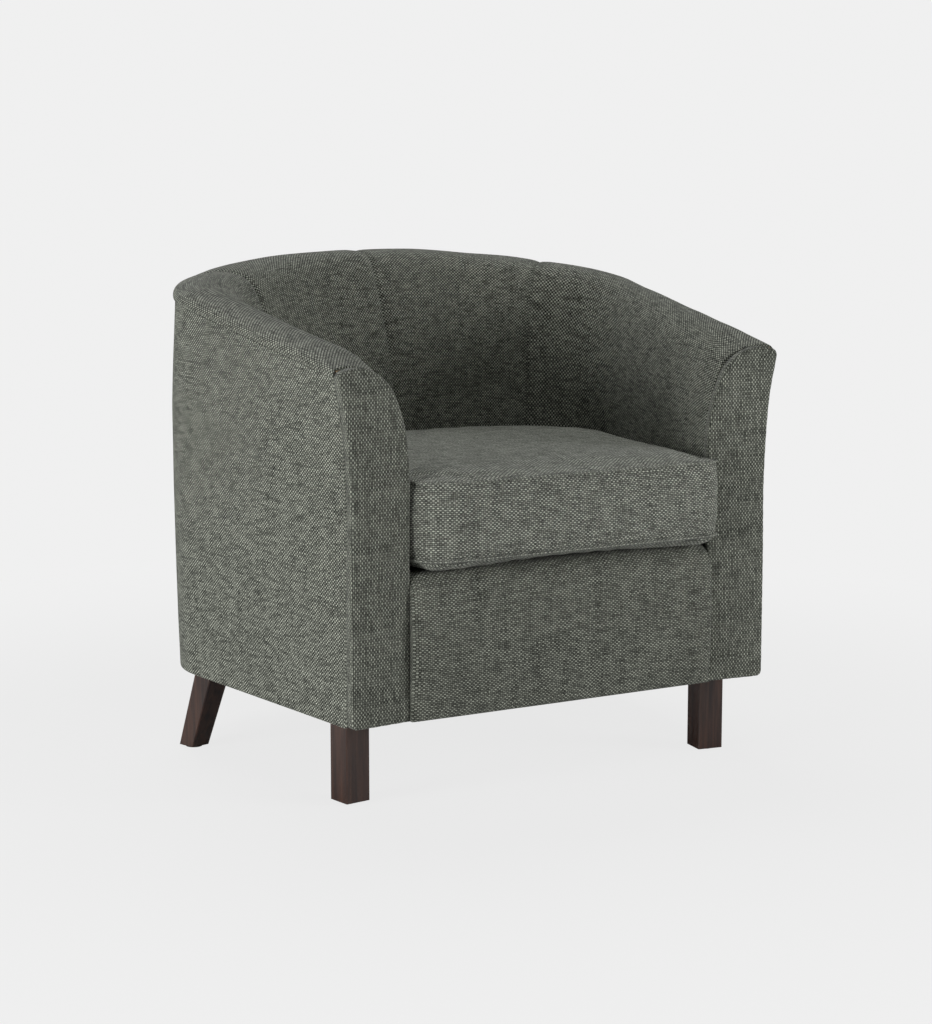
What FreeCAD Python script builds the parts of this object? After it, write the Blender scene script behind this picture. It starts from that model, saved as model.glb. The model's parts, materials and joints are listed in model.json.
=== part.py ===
import FreeCAD, Part
import math
import os

# Tub chair with a loose seat cushion. Millimetres, +Z up, the sitter looks along -Y.
# The drawing datum is the floor point below the outer front corners of the arms;
# every solid is moved at the end so that the origin lies under the middle of the chair.

V = FreeCAD.Vector

# Overall sizes
BODY_BOTTOM = 123.0
RIM_FRONT = 608.0
RIM_SLOPE = 0.1625
CUSHION_PROUD = 22.0
PANEL_DEPTH = 702.0

# Outer plan of the tub at seven heights: z, half width at the front, half width at the
# corner line, overall depth
CORNER_Y = 425.0
CORNER_R = 162.0
OUTER_LEVELS = [
    (BODY_BOTTOM, 342.0, 387.0, 698.0),
    (300.0, 340.4, 389.2, 700.6),
    (400.0, 339.5, 390.5, PANEL_DEPTH),
    (520.0, 344.5, 391.0, PANEL_DEPTH),
    (600.0, 358.0, 390.3, 699.7),
    (680.0, 371.5, 389.7, 697.3),
    (760.0, 385.0, 389.0, 695.0),
]
RIM_HALF = 360.0
RIM_CORNER_HALF = 390.5
RIM_DEPTH = 697.0

# Inner plan of the seat well
WELL_HALF = 246.5
WELL_CORNER_HALF = 278.2
WELL_CORNER_Y = 300.0
WELL_CORNER_R = 150.0
WELL_DEPTH = 498.0
WELL_TOP = 440.0

# Front facings
FACING_TOE = math.radians(5.98)
FACING_THICK = 14.0
FACING_PAD = 8.0
POST_DEPTH = 28.0

# Timber and panels
SKIN = 3.0
RAIL_OUT = 5.0
RAIL_IN = 25.0
RAIL_TOP = 306.0
FRAME_BOTTOM = 126.0
TOP_RAIL_IN = 40.0
TOP_RAIL_THICK = 22.0
FRONT_RAIL_Y = 26.0
FRONT_RAIL_THICK = 22.0
BACK_SEAT_RAIL_Y = 490.0
SEAT_RAIL_HEIGHT = 60.0

# Seat deck
SPRING_Z = 311.0
SPRING_WIRE_R = 1.9
SPRING_BARS = 11
SPRING_HALF = 26.0
SPRING_XS = (-156.0, -52.0, 52.0, 156.0)
DECK_TOP = 330.5
PAD_BOTTOM = 331.0

# Seams of the inside back, as angles about the centre of the back's arc
CORNER_SEAM = math.radians(48.5)
SEAM_DIP = 2.5
ARM_SECTIONS = (0.12, 0.25, 0.38, 0.5, 0.607, 0.7, 0.8, 0.9, 1.0)

# Cushion
CUSHION_HALF = 239.5
CUSHION_CORNER_HALF = 271.2
CUSHION_CORNER_R = 144.0
CUSHION_DEPTH = 489.0
CUSHION_BELLY = 3.0
CUSHION_BOTTOM = 331.0
CUSHION_LOW_SEAM = 346.0
CUSHION_TOP_SEAM = 453.0
CUSHION_CROWN = 470.0
CUSHION_FRONT_R = 38.0
COVER = 2.5

# Zip in the back border of the cushion
ZIP_Z = 378.0
ZIP_HALF_HEIGHT = 12.0
ZIP_SPAN = math.radians(19.0)

# Legs
FRONT_LEG = 39.5
FRONT_LEG_AT = (301.7, 88.2)
FRONT_LEG_TOE = 8.4
REAR_LEG_FOOT = 32.0
REAR_LEG_TOP = 38.0
REAR_LEG_FOOT_AT = (364.5, 483.0)
REAR_LEG_TOP_AT = (350.8, 437.4)
REAR_LEG_TOE = 15.0
REAR_BOLT_AT = (350.5, 442.6)
GLIDE_THICK = 2.5
GLIDE_R = 12.0

# Middle of the chair's depth, belly of the cushion to the outside back
ROW_Y = (PANEL_DEPTH - CUSHION_PROUD - CUSHION_BELLY) / 2

GAP = 0.4


def mix(a, b, f):
    return a + (b - a) * f


# Plan outlines

def tub_plan(half, corner_half, corner_y, corner_r, depth, inset=0.0):
    """Line, corner arc and back arc of one half of a tub plan, moved inward by inset."""
    flare = (corner_half - half) / corner_y
    tau = math.atan(flare)
    n = (-math.cos(tau), math.sin(tau))
    c1 = (corner_half + corner_r * n[0], corner_y + corner_r * n[1])
    q = depth - corner_r
    yc = (q * q - c1[0] ** 2 - c1[1] ** 2) / (2 * (q - c1[1]))
    joint = math.atan2(c1[1] - yc, c1[0])
    r1 = corner_r - inset
    return {
        "n": n, "flare": flare, "c1": c1, "yc": yc, "joint": joint,
        "r1": r1, "r2": depth - yc - inset,
        "p1": (corner_half + inset * n[0], corner_y + inset * n[1]),
        "side": -tau,
    }


def side_x(plan, y):
    """Half width on the straight side of the plan at depth y."""
    return plan["p1"][0] - plan["flare"] * (plan["p1"][1] - y)


def tub_wire(plan, z, front_y, front_r=0.0):
    """Closed outline of the plan at height z, cut off straight at front_y."""
    xf = side_x(plan, front_y)
    c1, r1, yc, r2 = plan["c1"], plan["r1"], plan["yc"], plan["r2"]
    mid = (plan["side"] + plan["joint"]) / 2
    p1 = V(plan["p1"][0], plan["p1"][1], z)
    m1 = V(c1[0] + r1 * math.cos(mid), c1[1] + r1 * math.sin(mid), z)
    p2 = V(c1[0] + r1 * math.cos(plan["joint"]), c1[1] + r1 * math.sin(plan["joint"]), z)
    back = V(0, yc + r2, z)

    def left(p):
        return V(-p.x, p.y, p.z)

    start = V(xf, front_y, z)
    edges = []
    if front_r > 0:
        nx, ny = plan["n"]
        centre = V(xf + front_r * (1 - ny) / nx, front_y + front_r, z)
        a = V(centre.x, front_y, z)
        b = centre - V(nx, ny, 0) * front_r
        m = centre - V(nx, ny + 1, 0).normalize() * front_r
        edges.append(Part.LineSegment(left(a), a).toShape())
        edges.append(Part.Arc(a, m, b).toShape())
        start = b
    else:
        edges.append(Part.LineSegment(left(start), start).toShape())
    edges.append(Part.LineSegment(start, p1).toShape())
    edges.append(Part.Arc(p1, m1, p2).toShape())
    edges.append(Part.Arc(p2, back, left(p2)).toShape())
    edges.append(Part.Arc(left(p2), left(m1), left(p1)).toShape())
    edges.append(Part.LineSegment(left(p1), left(start)).toShape())
    if front_r > 0:
        edges.append(Part.Arc(left(start), left(m), left(a)).toShape())
    return Part.Wire(edges)


def outer_block(inset):
    """The whole outside form of the tub, shrunk by inset, open past the front."""
    wires = []
    for z, half, corner_half, depth in OUTER_LEVELS:
        plan = tub_plan(half, corner_half, CORNER_Y, CORNER_R, depth, inset)
        wires.append(tub_wire(plan, z, -30.0))
    return Part.makeLoft(wires, True, True)


def prism(wire, height):
    return Part.Face(wire).extrude(V(0, 0, height))


def well_plan(inset=0.0):
    return tub_plan(WELL_HALF, WELL_CORNER_HALF, WELL_CORNER_Y, WELL_CORNER_R, WELL_DEPTH, inset)


def inside_distance(plan, p):
    """Distance of a point with x >= 0 inside the plan; negative outside."""
    c1, n = plan["c1"], plan["n"]
    d = (p[0] - c1[0], p[1] - c1[1])
    if d[0] * n[1] - d[1] * n[0] < 0:
        return (p[0] - plan["p1"][0]) * n[0] + (p[1] - plan["p1"][1]) * n[1]
    if math.atan2(p[1] - plan["yc"], p[0]) < plan["joint"]:
        return plan["r1"] - math.hypot(*d)
    return plan["r2"] - math.hypot(p[0], p[1] - plan["yc"])


def reach(st, plan, depth=0.0):
    """How far along the station's inward direction a point lies depth inside the plan."""
    low, high = 0.0, 330.0
    for _ in range(40):
        w = (low + high) / 2
        p = (st["p"][0] + st["n"][0] * w, st["p"][1] + st["n"][1] * w)
        if inside_distance(plan, p) < depth:
            low = w
        else:
            high = w
    return high


# Stations along the rim, right half, each with a point and an inward normal

RIM = tub_plan(RIM_HALF, RIM_CORNER_HALF, CORNER_Y, CORNER_R, RIM_DEPTH)


def facing_station(depth):
    t = FACING_TOE
    corner = (RIM_HALF + 0.0, 0.0)
    return {"p": (corner[0] + depth * math.sin(t), corner[1] + depth * math.cos(t)),
            "n": (-math.cos(t), math.sin(t))}


def side_station(y):
    return {"p": (side_x(RIM, y), y), "n": RIM["n"]}


def back_station(angle):
    u = (math.cos(angle), math.sin(angle))
    return {"p": (RIM["r2"] * u[0], RIM["yc"] + RIM["r2"] * u[1]), "n": (-u[0], -u[1])}


def walk(plan, start_y, end_angle, f):
    """Point at fraction f of the way from start_y on the side to an angle on the corner
    arc (about its centre) or, past the joint, on the back arc (about the back's centre)."""
    c1, r1, side, joint = plan["c1"], plan["r1"], plan["side"], plan["joint"]
    x0 = side_x(plan, start_y)
    straight = math.hypot(plan["p1"][0] - x0, plan["p1"][1] - start_y)
    corner = r1 * (min(end_angle, joint) - side)
    rest = plan["r2"] * max(0.0, end_angle - joint)
    run = f * (straight + corner + rest)
    if run <= straight:
        k = run / straight
        return (mix(x0, plan["p1"][0], k), mix(start_y, plan["p1"][1], k))
    if run <= straight + corner + 1e-6:
        a = side + (run - straight) / r1
        return (c1[0] + r1 * math.cos(a), c1[1] + r1 * math.sin(a))
    a = joint + (run - straight - corner) / plan["r2"]
    return (plan["r2"] * math.cos(a), plan["yc"] + plan["r2"] * math.sin(a))


def between(outer, inner):
    """Station from a rim point to the matching point of the well's outline."""
    seat = math.hypot(inner[0] - outer[0], inner[1] - outer[1])
    n = ((inner[0] - outer[0]) / seat, (inner[1] - outer[1]) / seat)
    lean = min(1.0, max(0.0, (seat - 118.0) / 80.0))
    return {"p": outer, "n": n, "seat": seat, "lean": lean}


def rim_z(y):
    return RIM_FRONT + RIM_SLOPE * y


def at(st, w, z):
    return V(st["p"][0] + st["n"][0] * w, st["p"][1] + st["n"][1] * w, z)


def on_rim(st, w, dz):
    y = st["p"][1] + st["n"][1] * w
    return at(st, w, rim_z(y) + dz)


# Shared cutters

def below_rim(dz):
    """Everything lower than the sloping rim plane moved up by dz."""
    z0 = rim_z(-100.0) + dz
    z1 = rim_z(900.0) + dz
    pts = [V(-600, -100, -10), V(-600, 900, -10), V(-600, 900, z1), V(-600, -100, z0)]
    return Part.Face(Part.makePolygon(pts + pts[:1])).extrude(V(1200, 0, 0))


def behind_facing(depth):
    """Everything on the right half that lies behind the facing plane by depth."""
    st = facing_station(depth)
    out = V(-st["n"][0], -st["n"][1], 0)
    a = V(st["p"][0], st["p"][1], 0)
    back = V(-st["n"][1], st["n"][0], 0) * -1
    if back.y < 0:
        back = back * -1
    pts = [a + out * 300, a - out * 700, a - out * 700 + back * 900, a + out * 300 + back * 900]
    return prism(Part.makePolygon(pts + pts[:1]), 900)


def wedge(a0, a1, radius=900.0):
    """Upright wedge about the centre of the back's arc, from angle a0 to a1."""
    c = V(0, RIM["yc"], 0)
    pts = [c]
    steps = 4
    for k in range(steps + 1):
        a = a0 + (a1 - a0) * k / steps
        pts.append(c + V(radius * math.cos(a), radius * math.sin(a), 0))
    return prism(Part.makePolygon(pts + pts[:1]), 900)


def mirror(shape):
    return shape.mirror(V(0, 0, 0), V(1, 0, 0))


def local_box(st, w0, w1, depth0, depth1, z0, z1):
    """Box laid out along a station's normal; depth runs along the wall."""
    along = V(st["n"][1], -st["n"][0], 0)
    if along.y < 0:
        along = along * -1
    a = V(st["p"][0], st["p"][1], z0)
    n = V(st["n"][0], st["n"][1], 0)
    pts = [a + n * w0 + along * depth0, a + n * w1 + along * depth0,
           a + n * w1 + along * depth1, a + n * w0 + along * depth1]
    return prism(Part.makePolygon(pts + pts[:1]), z1 - z0)


# Inside padding: sections lofted from station to station

def seen_path(st, front, dip):
    """Points of the seen face: deck level, arm or back face, shoulder, crest, rim seam."""
    seat, lean, d = st["seat"], st["lean"], dip
    shoulder = mix(93.0, 118.0, lean)
    fall = mix(-31.0 - 7.0 * front, -16.0, lean)
    low = at(st, seat, PAD_BOTTOM + GAP)
    knee = at(st, seat, WELL_TOP)
    turn = over(st, shoulder - d, fall - 0.3 * d)
    belly = (knee + turn) * 0.5 + V(st["n"][0], st["n"][1], 0) * (mix(8.0, 14.0, lean) - 0.5 * dip)
    round_out = over(st, mix(83.5, 110.0, lean) - 0.8 * d, mix(-8.0 - 9.0 * front, 3.0, lean) - 0.6 * d)
    crest = over(st, mix(58.0, 88.0, lean), mix(9.0 - 11.0 * front, 11.0, lean) - d)
    top = over(st, mix(29.0, 40.0, lean), mix(11.5 - 6.0 * front, 12.5, lean) - d)
    seam = over(st, 0.5, 0.6)
    return [low, knee, belly, turn, round_out, crest, top, seam]


def over(st, w, dz):
    return at(st, w, rim_z(st["p"][1]) + dz)


def face_edges(pts):
    low, knee, belly, turn, round_out, crest, top, seam = pts
    return [
        Part.LineSegment(low, knee).toShape(),
        Part.Arc(knee, belly, turn).toShape(),
        Part.Arc(turn, round_out, crest).toShape(),
        Part.Arc(crest, top, seam).toShape(),
    ]


def joined(a, b):
    return Part.LineSegment(a, b).toShape()


def pad_section(st, front, dip):
    seen = seen_path(st, front, dip)
    lean = st["lean"]
    edge = reach(st, RIM, TOP_RAIL_IN + 9.0)
    rear = st["seat"] - mix(58.0, 72.0, lean)
    hidden = [seen[-1], on_rim(st, edge, 0.6), on_rim(st, edge, -TOP_RAIL_THICK - 6.0),
              at(st, rear, WELL_TOP), at(st, rear + 39.0 * lean, PAD_BOTTOM + GAP), seen[0]]
    return Part.Wire(face_edges(seen) + [joined(hidden[k], hidden[k + 1]) for k in range(5)])


def arm_stations():
    """Sections from the facing round to the corner seam, close together in the turn."""
    first = facing_station(FACING_THICK + GAP)
    inner = at(first, 113.5, 0)
    well = well_plan()
    sts = [(between(first["p"], (inner.x, inner.y)), 1.0, 0.0)]
    for f in ARM_SECTIONS:
        outer = walk(RIM, first["p"][1], CORNER_SEAM - 0.0006, f)
        point = walk(well, inner.y, well["joint"] - 0.0008, f)
        sts.append((between(outer, point), 0.0, SEAM_DIP if f == 1.0 else 0.0))
    return sts


def back_stations():
    well = well_plan()
    steps = 5
    sts = []
    for k in range(steps + 1):
        a = mix(CORNER_SEAM + 0.0006, math.pi / 2 - 0.0006, k / steps)
        b = mix(well["joint"] + 0.0008, math.pi / 2 - 0.0006, k / steps)
        outer = back_station(a)["p"]
        point = (well["r2"] * math.cos(b), well["yc"] + well["r2"] * math.sin(b))
        sts.append((between(outer, point), 0.0, SEAM_DIP if k in (0, steps) else 0.0))
    return sts


def padding(stations):
    return Part.makeLoft([pad_section(*st) for st in stations], True, True)


# Outside panels and timber frame

def ring(outer, inner, z0, z1):
    block = Part.makeBox(1200, 1200, z1 - z0, V(-600, -200, z0))
    return outer_block(outer).common(block).cut(outer_block(inner))


def outside_panels():
    skin = outer_block(0.0).common(below_rim(0.0)).cut(outer_block(SKIN))
    split = CORNER_SEAM - math.radians(3.0)
    back = skin.common(wedge(split, math.pi - split))
    side = skin.common(behind_facing(FACING_THICK + GAP)).cut(wedge(split, math.pi - split))
    right = side.common(Part.makeBox(600, 1200, 900, V(0, -100, 0)))
    return right, back


def solids_of(shape, least=1.0):
    kept = [s for s in shape.Solids if s.Volume > least]
    return kept[0] if len(kept) == 1 else Part.makeCompound(kept)


def facing_outline(inset, depth):
    """Front outline of the arm: waisted outer edge, flared top, rolled inner shoulder."""
    st = facing_station(depth)
    w = RIM_HALF - OUTER_LEVELS[0][1]
    i = inset

    def p(x, z):
        return at(st, x, z)

    outer = Part.BSplineCurve()
    outer.interpolate([p(w + i, BODY_BOTTOM + i), p(w + 1 + i, 300), p(w + 2 + i, 420),
                       p(w - 4 + i, 530), p(1 + i, RIM_FRONT - 1.5 * i)])
    inner = Part.BSplineCurve()
    inner.interpolate([p(93 - i, 570), p(107 - i, 529), p(114.5 - i, 465),
                       p(113.5 - i, 330), p(113.5 - i, BODY_BOTTOM + i)])
    crest = Part.Arc(p(1 + i, RIM_FRONT - 1.5 * i), p(29, RIM_FRONT + 5.5 - i),
                     p(58, RIM_FRONT - 2 - i))
    roll = Part.Arc(p(58, RIM_FRONT - 2 - i), p(80.5 - 0.8 * i, RIM_FRONT - 18 - 0.6 * i), p(93 - i, 570))
    base = Part.LineSegment(p(113.5 - i, BODY_BOTTOM + i), p(w + i, BODY_BOTTOM + i))
    return Part.Wire([c.toShape() for c in (outer, crest, roll, inner, base)])


def facing_slab(inset, depth0, depth1):
    face = Part.Face(facing_outline(inset, depth0))
    back = V(math.sin(FACING_TOE), math.cos(FACING_TOE), 0)
    return face.extrude(back * (depth1 - depth0))


def facing():
    """Padded facing drawn round its board, with a sloping rim at the front."""
    edge = 3.0
    body = facing_slab(0.0, edge, FACING_THICK)
    front = Part.makeLoft([facing_outline(0.0, edge), facing_outline(edge, 0.0)], True, True)
    return body.fuse(front).cut(facing_slab(3.1, FACING_PAD, FACING_THICK + 1)).removeSplitter()


def facing_board():
    return facing_slab(3.5, FACING_PAD + GAP, FACING_THICK)


def arm_post():
    st = facing_station(0.0)
    start = FACING_THICK + GAP
    post = local_box(st, 23.0, 44.0, start, start + POST_DEPTH, FRAME_BOTTOM, 700)
    return post.common(below_rim(-TOP_RAIL_THICK - GAP)).common(outer_block(RAIL_OUT))


def top_rail_parts():
    band = outer_block(RAIL_OUT).cut(outer_block(TOP_RAIL_IN))
    band = band.common(below_rim(-0.2)).cut(below_rim(-TOP_RAIL_THICK))
    split = RIM["joint"] - math.radians(8)
    back = band.common(wedge(split, math.pi - split))
    side = band.common(behind_facing(FACING_THICK + GAP)).cut(wedge(split - 0.001, math.pi - split + 0.001))
    right = side.common(Part.makeBox(600, 1200, 900, V(0, -100, 0)))
    return right, back


def side_rail():
    """Side board of the base, from the arm post to the rear corner."""
    lead = FACING_THICK + POST_DEPTH + 2 * GAP
    board = ring(RAIL_OUT, RAIL_IN, FRAME_BOTTOM, RAIL_TOP).common(behind_facing(lead))
    end = RIM["joint"] - math.radians(10)
    board = board.cut(wedge(end, math.pi - end + 0.5))
    return board.common(Part.makeBox(600, 1200, 900, V(0, -100, 0)))


def back_rail():
    end = RIM["joint"] - math.radians(10) + 0.001
    board = ring(RAIL_OUT, RAIL_IN, FRAME_BOTTOM, 216.0)
    return board.common(wedge(end, math.pi - end))


def front_rail():
    half = 306.0
    board = Part.makeBox(2 * half, FRONT_RAIL_THICK, RAIL_TOP - FRAME_BOTTOM,
                         V(-half, FRONT_RAIL_Y, FRAME_BOTTOM))
    slot = Part.makeBox(200, FRONT_RAIL_THICK, 60, V(-100, FRONT_RAIL_Y, 186))
    slot = slot.makeFillet(20.0, [e for e in slot.Edges if abs(e.tangentAt(0).y) > 0.9])
    return board.cut(slot)


def back_seat_rail():
    board = Part.makeBox(760, 24, SEAT_RAIL_HEIGHT,
                         V(-380, BACK_SEAT_RAIL_Y, RAIL_TOP - SEAT_RAIL_HEIGHT))
    return board.common(outer_block(RAIL_IN + GAP))


def side_seat_rail():
    """Rail under the edge of the seat deck, from the front rail to the back seat rail."""
    st = side_station(FRONT_RAIL_Y + FRONT_RAIL_THICK + 9.0)
    rail = local_box(st, 52, 74, 0, 470, RAIL_TOP - SEAT_RAIL_HEIGHT, RAIL_TOP)
    return rail.common(Part.makeBox(400, BACK_SEAT_RAIL_Y - GAP, 900, V(0, 0, 0)))


def raked_bar(deg, half, front, thick, low, high_dz):
    """Bar along the hidden face of the back foam, front measured back from that face."""
    st = back_station(math.radians(deg))
    seat = reach(st, well_plan())
    top = on_rim(st, TOP_RAIL_IN + 1.0, high_dz)
    knee_w = seat - 72.0
    slope = (knee_w - TOP_RAIL_IN - 1.0) / (on_rim(st, 44.0, -28.0).z - WELL_TOP)
    along = V(st["n"][1], -st["n"][0], 0)

    def p(z, back):
        return at(st, knee_w + slope * (WELL_TOP - z) - back, z) - along * half

    pts = [p(low, front), p(top.z, front), p(top.z, front + thick), p(low, front + thick)]
    return Part.Face(Part.makePolygon(pts + pts[:1])).extrude(along * (2 * half))


def back_uprights():
    """Four raked posts from the back seat rail to the top rail."""
    posts = []
    for deg in (68.0, 84.5, 95.5, 112.0):
        post = raked_bar(deg, 17, 6.0, 24, 246.0, 30.0)
        post = post.common(below_rim(-TOP_RAIL_THICK - GAP)).cut(back_seat_rail())
        posts.append(solids_of(post, 20000.0))
    return Part.makeCompound(posts)


def corner_post():
    """Upright at the rear corner, base rail to top rail."""
    st = back_station(math.radians(50.0))
    post = local_box(st, RAIL_IN + 2, TOP_RAIL_IN - 1, -20, 20, FRAME_BOTTOM, 760)
    return post.common(below_rim(-TOP_RAIL_THICK - GAP))


def corner_blocks():
    blocks = []
    for x0, y0, x1, y1 in ((258, FRONT_RAIL_Y + FRONT_RAIL_THICK + 8, 340, 130),
                           (300, 396, 380, 476)):
        block = Part.makeBox(x1 - x0, y1 - y0, 50, V(x0, y0, FRAME_BOTTOM))
        block = block.common(outer_block(RAIL_IN + GAP))
        block = block.cut(bolt_holes())
        blocks += [solids_of(block), mirror(solids_of(block))]
    return Part.makeCompound(blocks)


# Legs and their fixings

def bolt_points():
    return (FRONT_LEG_AT, REAR_BOLT_AT)


def square_wire(at_xy, size, turn, z, corner=0.0):
    """Square of the given size, its corners cut back when corner is given."""
    t = math.radians(turn)
    u = V(math.cos(t), math.sin(t), 0)
    v = V(-math.sin(t), math.cos(t), 0)
    c = V(at_xy[0], at_xy[1], z)
    h = size / 2
    pts = []
    for a, b in ((u, v), (v, u * -1), (u * -1, v * -1), (v * -1, u)):
        pts.append(c + a * h + b * (h - corner))
        if corner > 0:
            pts.append(c + a * (h - corner) + b * h)
    if corner <= 0:
        pts = [c + u * h + v * h, c - u * h + v * h, c - u * h - v * h, c + u * h - v * h]
    return Part.makePolygon(pts + pts[:1])


def leg(foot_at, top_at, foot, top, turn):
    wires = [square_wire(foot_at, foot, turn, GLIDE_THICK, 1.4),
             square_wire(top_at, top, turn, FRAME_BOTTOM - 0.1, 1.4)]
    return Part.makeLoft(wires, True, True)


def front_leg():
    body = leg(FRONT_LEG_AT, FRONT_LEG_AT, FRONT_LEG, FRONT_LEG, -FRONT_LEG_TOE)
    return body.cut(bolt_holes())


def rear_leg():
    body = leg(REAR_LEG_FOOT_AT, REAR_LEG_TOP_AT, REAR_LEG_FOOT, REAR_LEG_TOP, -REAR_LEG_TOE)
    return body.cut(bolt_holes())


def bolt_shapes(radius, z0, z1):
    return [Part.makeCylinder(radius, z1 - z0, V(x, y, z0)) for x, y in bolt_points()]


def bolt_holes():
    """Pilot holes in the legs, wider clearance holes in the corner blocks."""
    holes = bolt_shapes(4.3, 93.0, FRAME_BOTTOM) + bolt_shapes(8.4, FRAME_BOTTOM - 0.05, 177.0)
    return Part.makeCompound(holes + [mirror(h) for h in holes])


def both_sides(shapes):
    return Part.makeCompound(shapes + [mirror(s) for s in shapes])


def leg_bolts():
    return both_sides(bolt_shapes(4.0, 94.0, 171.0))


def leg_nuts():
    """Tee nuts in the tops of the corner blocks: eight-sided barrel, square flange."""
    nuts = []
    for x, y in bolt_points():
        barrel = prism(square_wire((x, y), 14.0, 22.5, 164.0, 4.1), 12.1)
        flange = prism(square_wire((x, y), 21.0, 0.0, 176.1, 3.0), 1.6)
        bore = Part.makeCylinder(4.3, 20.0, V(x, y, 163.0))
        nuts.append(barrel.fuse(flange).cut(bore))
    return both_sides(nuts)


def leg_glides():
    feet = [Part.makeCylinder(GLIDE_R, GLIDE_THICK - 0.1, V(x, y, 0))
            for x, y in (FRONT_LEG_AT, REAR_LEG_FOOT_AT)]
    return both_sides(feet)


# Seat suspension and deck

def spring_side(x0, wide):
    """One edge of the zigzag strip: bars across joined by bends of two short slants."""
    pitch = (BACK_SEAT_RAIL_Y - FRONT_RAIL_Y) / (SPRING_BARS - 1)
    slant = pitch * 0.3
    pts = []
    s = 1
    for k in range(SPRING_BARS):
        y = FRONT_RAIL_Y + 12.0 + pitch * k
        if k > 0:
            pts.append(V(x0 - s * (SPRING_HALF - slant + 0.4 * wide * s), y - wide * s, 0))
        else:
            pts.append(V(x0 - s * SPRING_HALF, y - wide * s, 0))
        if k < SPRING_BARS - 1:
            edge = SPRING_HALF + wide * s
            pts.append(V(x0 + s * (SPRING_HALF - slant + 0.4 * wide * s), y - wide * s, 0))
            pts.append(V(x0 + s * edge, y + slant - 0.4 * wide * s, 0))
            pts.append(V(x0 + s * edge, y + pitch - slant + 0.4 * wide * s, 0))
        else:
            pts.append(V(x0 + s * SPRING_HALF, y - wide * s, 0))
        s = -s
    return pts


def spring(x0):
    pts = spring_side(x0, SPRING_WIRE_R) + spring_side(x0, -SPRING_WIRE_R)[::-1]
    strip = prism(Part.makePolygon(pts + pts[:1]), 2 * SPRING_WIRE_R)
    strip.translate(V(0, 0, SPRING_Z - SPRING_WIRE_R))
    return strip


def springs():
    return Part.makeCompound([spring(x) for x in SPRING_XS])


def spring_clips():
    """Folded clips that hold the first and last bars on the rails."""
    clips = []
    for x in SPRING_XS:
        for y in (FRONT_RAIL_Y + 12.0, BACK_SEAT_RAIL_Y + 12.0):
            clip = Part.makeBox(16, 12, 8.5, V(x - 8, y - 6, RAIL_TOP + 0.1))
            play = SPRING_WIRE_R + 0.3
            mouth = Part.makeBox(30, 16, 2 * play, V(x - 15, y - play, SPRING_Z - play))
            clips.append(clip.cut(mouth))
    return Part.makeCompound(clips)


def tie_wires():
    wires = [Part.makeCylinder(1.4, 420, V(-210, y, SPRING_Z - SPRING_WIRE_R - 1.6), V(1, 0, 0))
             for y in (160.0, 330.0)]
    return Part.makeCompound(wires)


def deck_layer(z0, z1):
    plan = tub_plan(298.0, 334.0, 300.0, 150.0, WELL_DEPTH + 6.0)
    return prism(tub_wire(plan, z0, 34.0), z1 - z0)


def apron():
    """Front border: bellied face, rolled over the front rail on to the deck."""
    half = WELL_HALF + 1.0
    face_y = -2.0
    back_y = FRONT_RAIL_Y - GAP

    def p(y, z):
        return V(-half, y, z)

    top = DECK_TOP
    edges = [
        Part.Arc(p(1, BODY_BOTTOM), p(face_y - 4, 215), p(face_y, 303)).toShape(),
        Part.Arc(p(face_y, 303), p(face_y + 6.2, 320), p(face_y + 23, top)).toShape(),
        Part.LineSegment(p(face_y + 23, top), p(33.5, top)).toShape(),
        Part.LineSegment(p(33.5, top), p(33.5, 319)).toShape(),
        Part.LineSegment(p(33.5, 319), p(back_y, 319)).toShape(),
        Part.LineSegment(p(back_y, 319), p(back_y, BODY_BOTTOM)).toShape(),
        Part.LineSegment(p(back_y, BODY_BOTTOM), p(1, BODY_BOTTOM)).toShape(),
    ]
    block = Part.Face(Part.Wire(edges)).extrude(V(2 * half, 0, 0))
    keep = facing_slab(-GAP, 0.0, 60.0)
    return block.cut(keep).cut(mirror(keep))


def dust_cover():
    plan = tub_plan(OUTER_LEVELS[0][1], OUTER_LEVELS[0][2], CORNER_Y, CORNER_R, OUTER_LEVELS[0][3], 8.0)
    sheet = prism(tub_wire(plan, FRAME_BOTTOM - 1.6, FRONT_RAIL_Y), 1.2)
    holes = [prism(square_wire(FRONT_LEG_AT, FRONT_LEG + 1.5, -FRONT_LEG_TOE, 100), 40),
             prism(square_wire(REAR_LEG_TOP_AT, REAR_LEG_TOP + 1.5, -REAR_LEG_TOE, 100), 40)]
    return sheet.cut(both_sides(holes))


def back_webbing():
    """Raked elastic straps between the uprights, against the back foam."""
    straps = []
    for deg in (76.2, 90.0, 103.8):
        strap = raked_bar(deg, 24, 3.4, 1.2, 310.0, -TOP_RAIL_THICK - 2.0)
        straps.append(solids_of(strap.common(below_rim(-TOP_RAIL_THICK - 2))))
    return Part.makeCompound(straps)


# Loose cushion

def cushion_plan(inset):
    return tub_plan(CUSHION_HALF, CUSHION_CORNER_HALF, WELL_CORNER_Y, CUSHION_CORNER_R,
                    CUSHION_DEPTH, inset)


def cushion_wire(inset, z):
    return tub_wire(cushion_plan(inset), z, -CUSHION_PROUD + inset, CUSHION_FRONT_R)


def cushion_loft(levels):
    return Part.makeLoft([cushion_wire(inset, z) for inset, z in levels], True, True)


def cushion_core(i):
    """Straight-sided block between the two seams, moved inward by i."""
    return prism(cushion_wire(i, CUSHION_LOW_SEAM), CUSHION_TOP_SEAM - CUSHION_LOW_SEAM)


def cushion_border():
    height = CUSHION_TOP_SEAM - CUSHION_LOW_SEAM
    levels = []
    for k in range(5):
        f = k / 4
        levels.append((-CUSHION_BELLY * math.sin(math.pi * f), CUSHION_LOW_SEAM + height * f))
    return cushion_loft(levels).cut(cushion_core(COVER)).cut(zip_slot())


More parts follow.
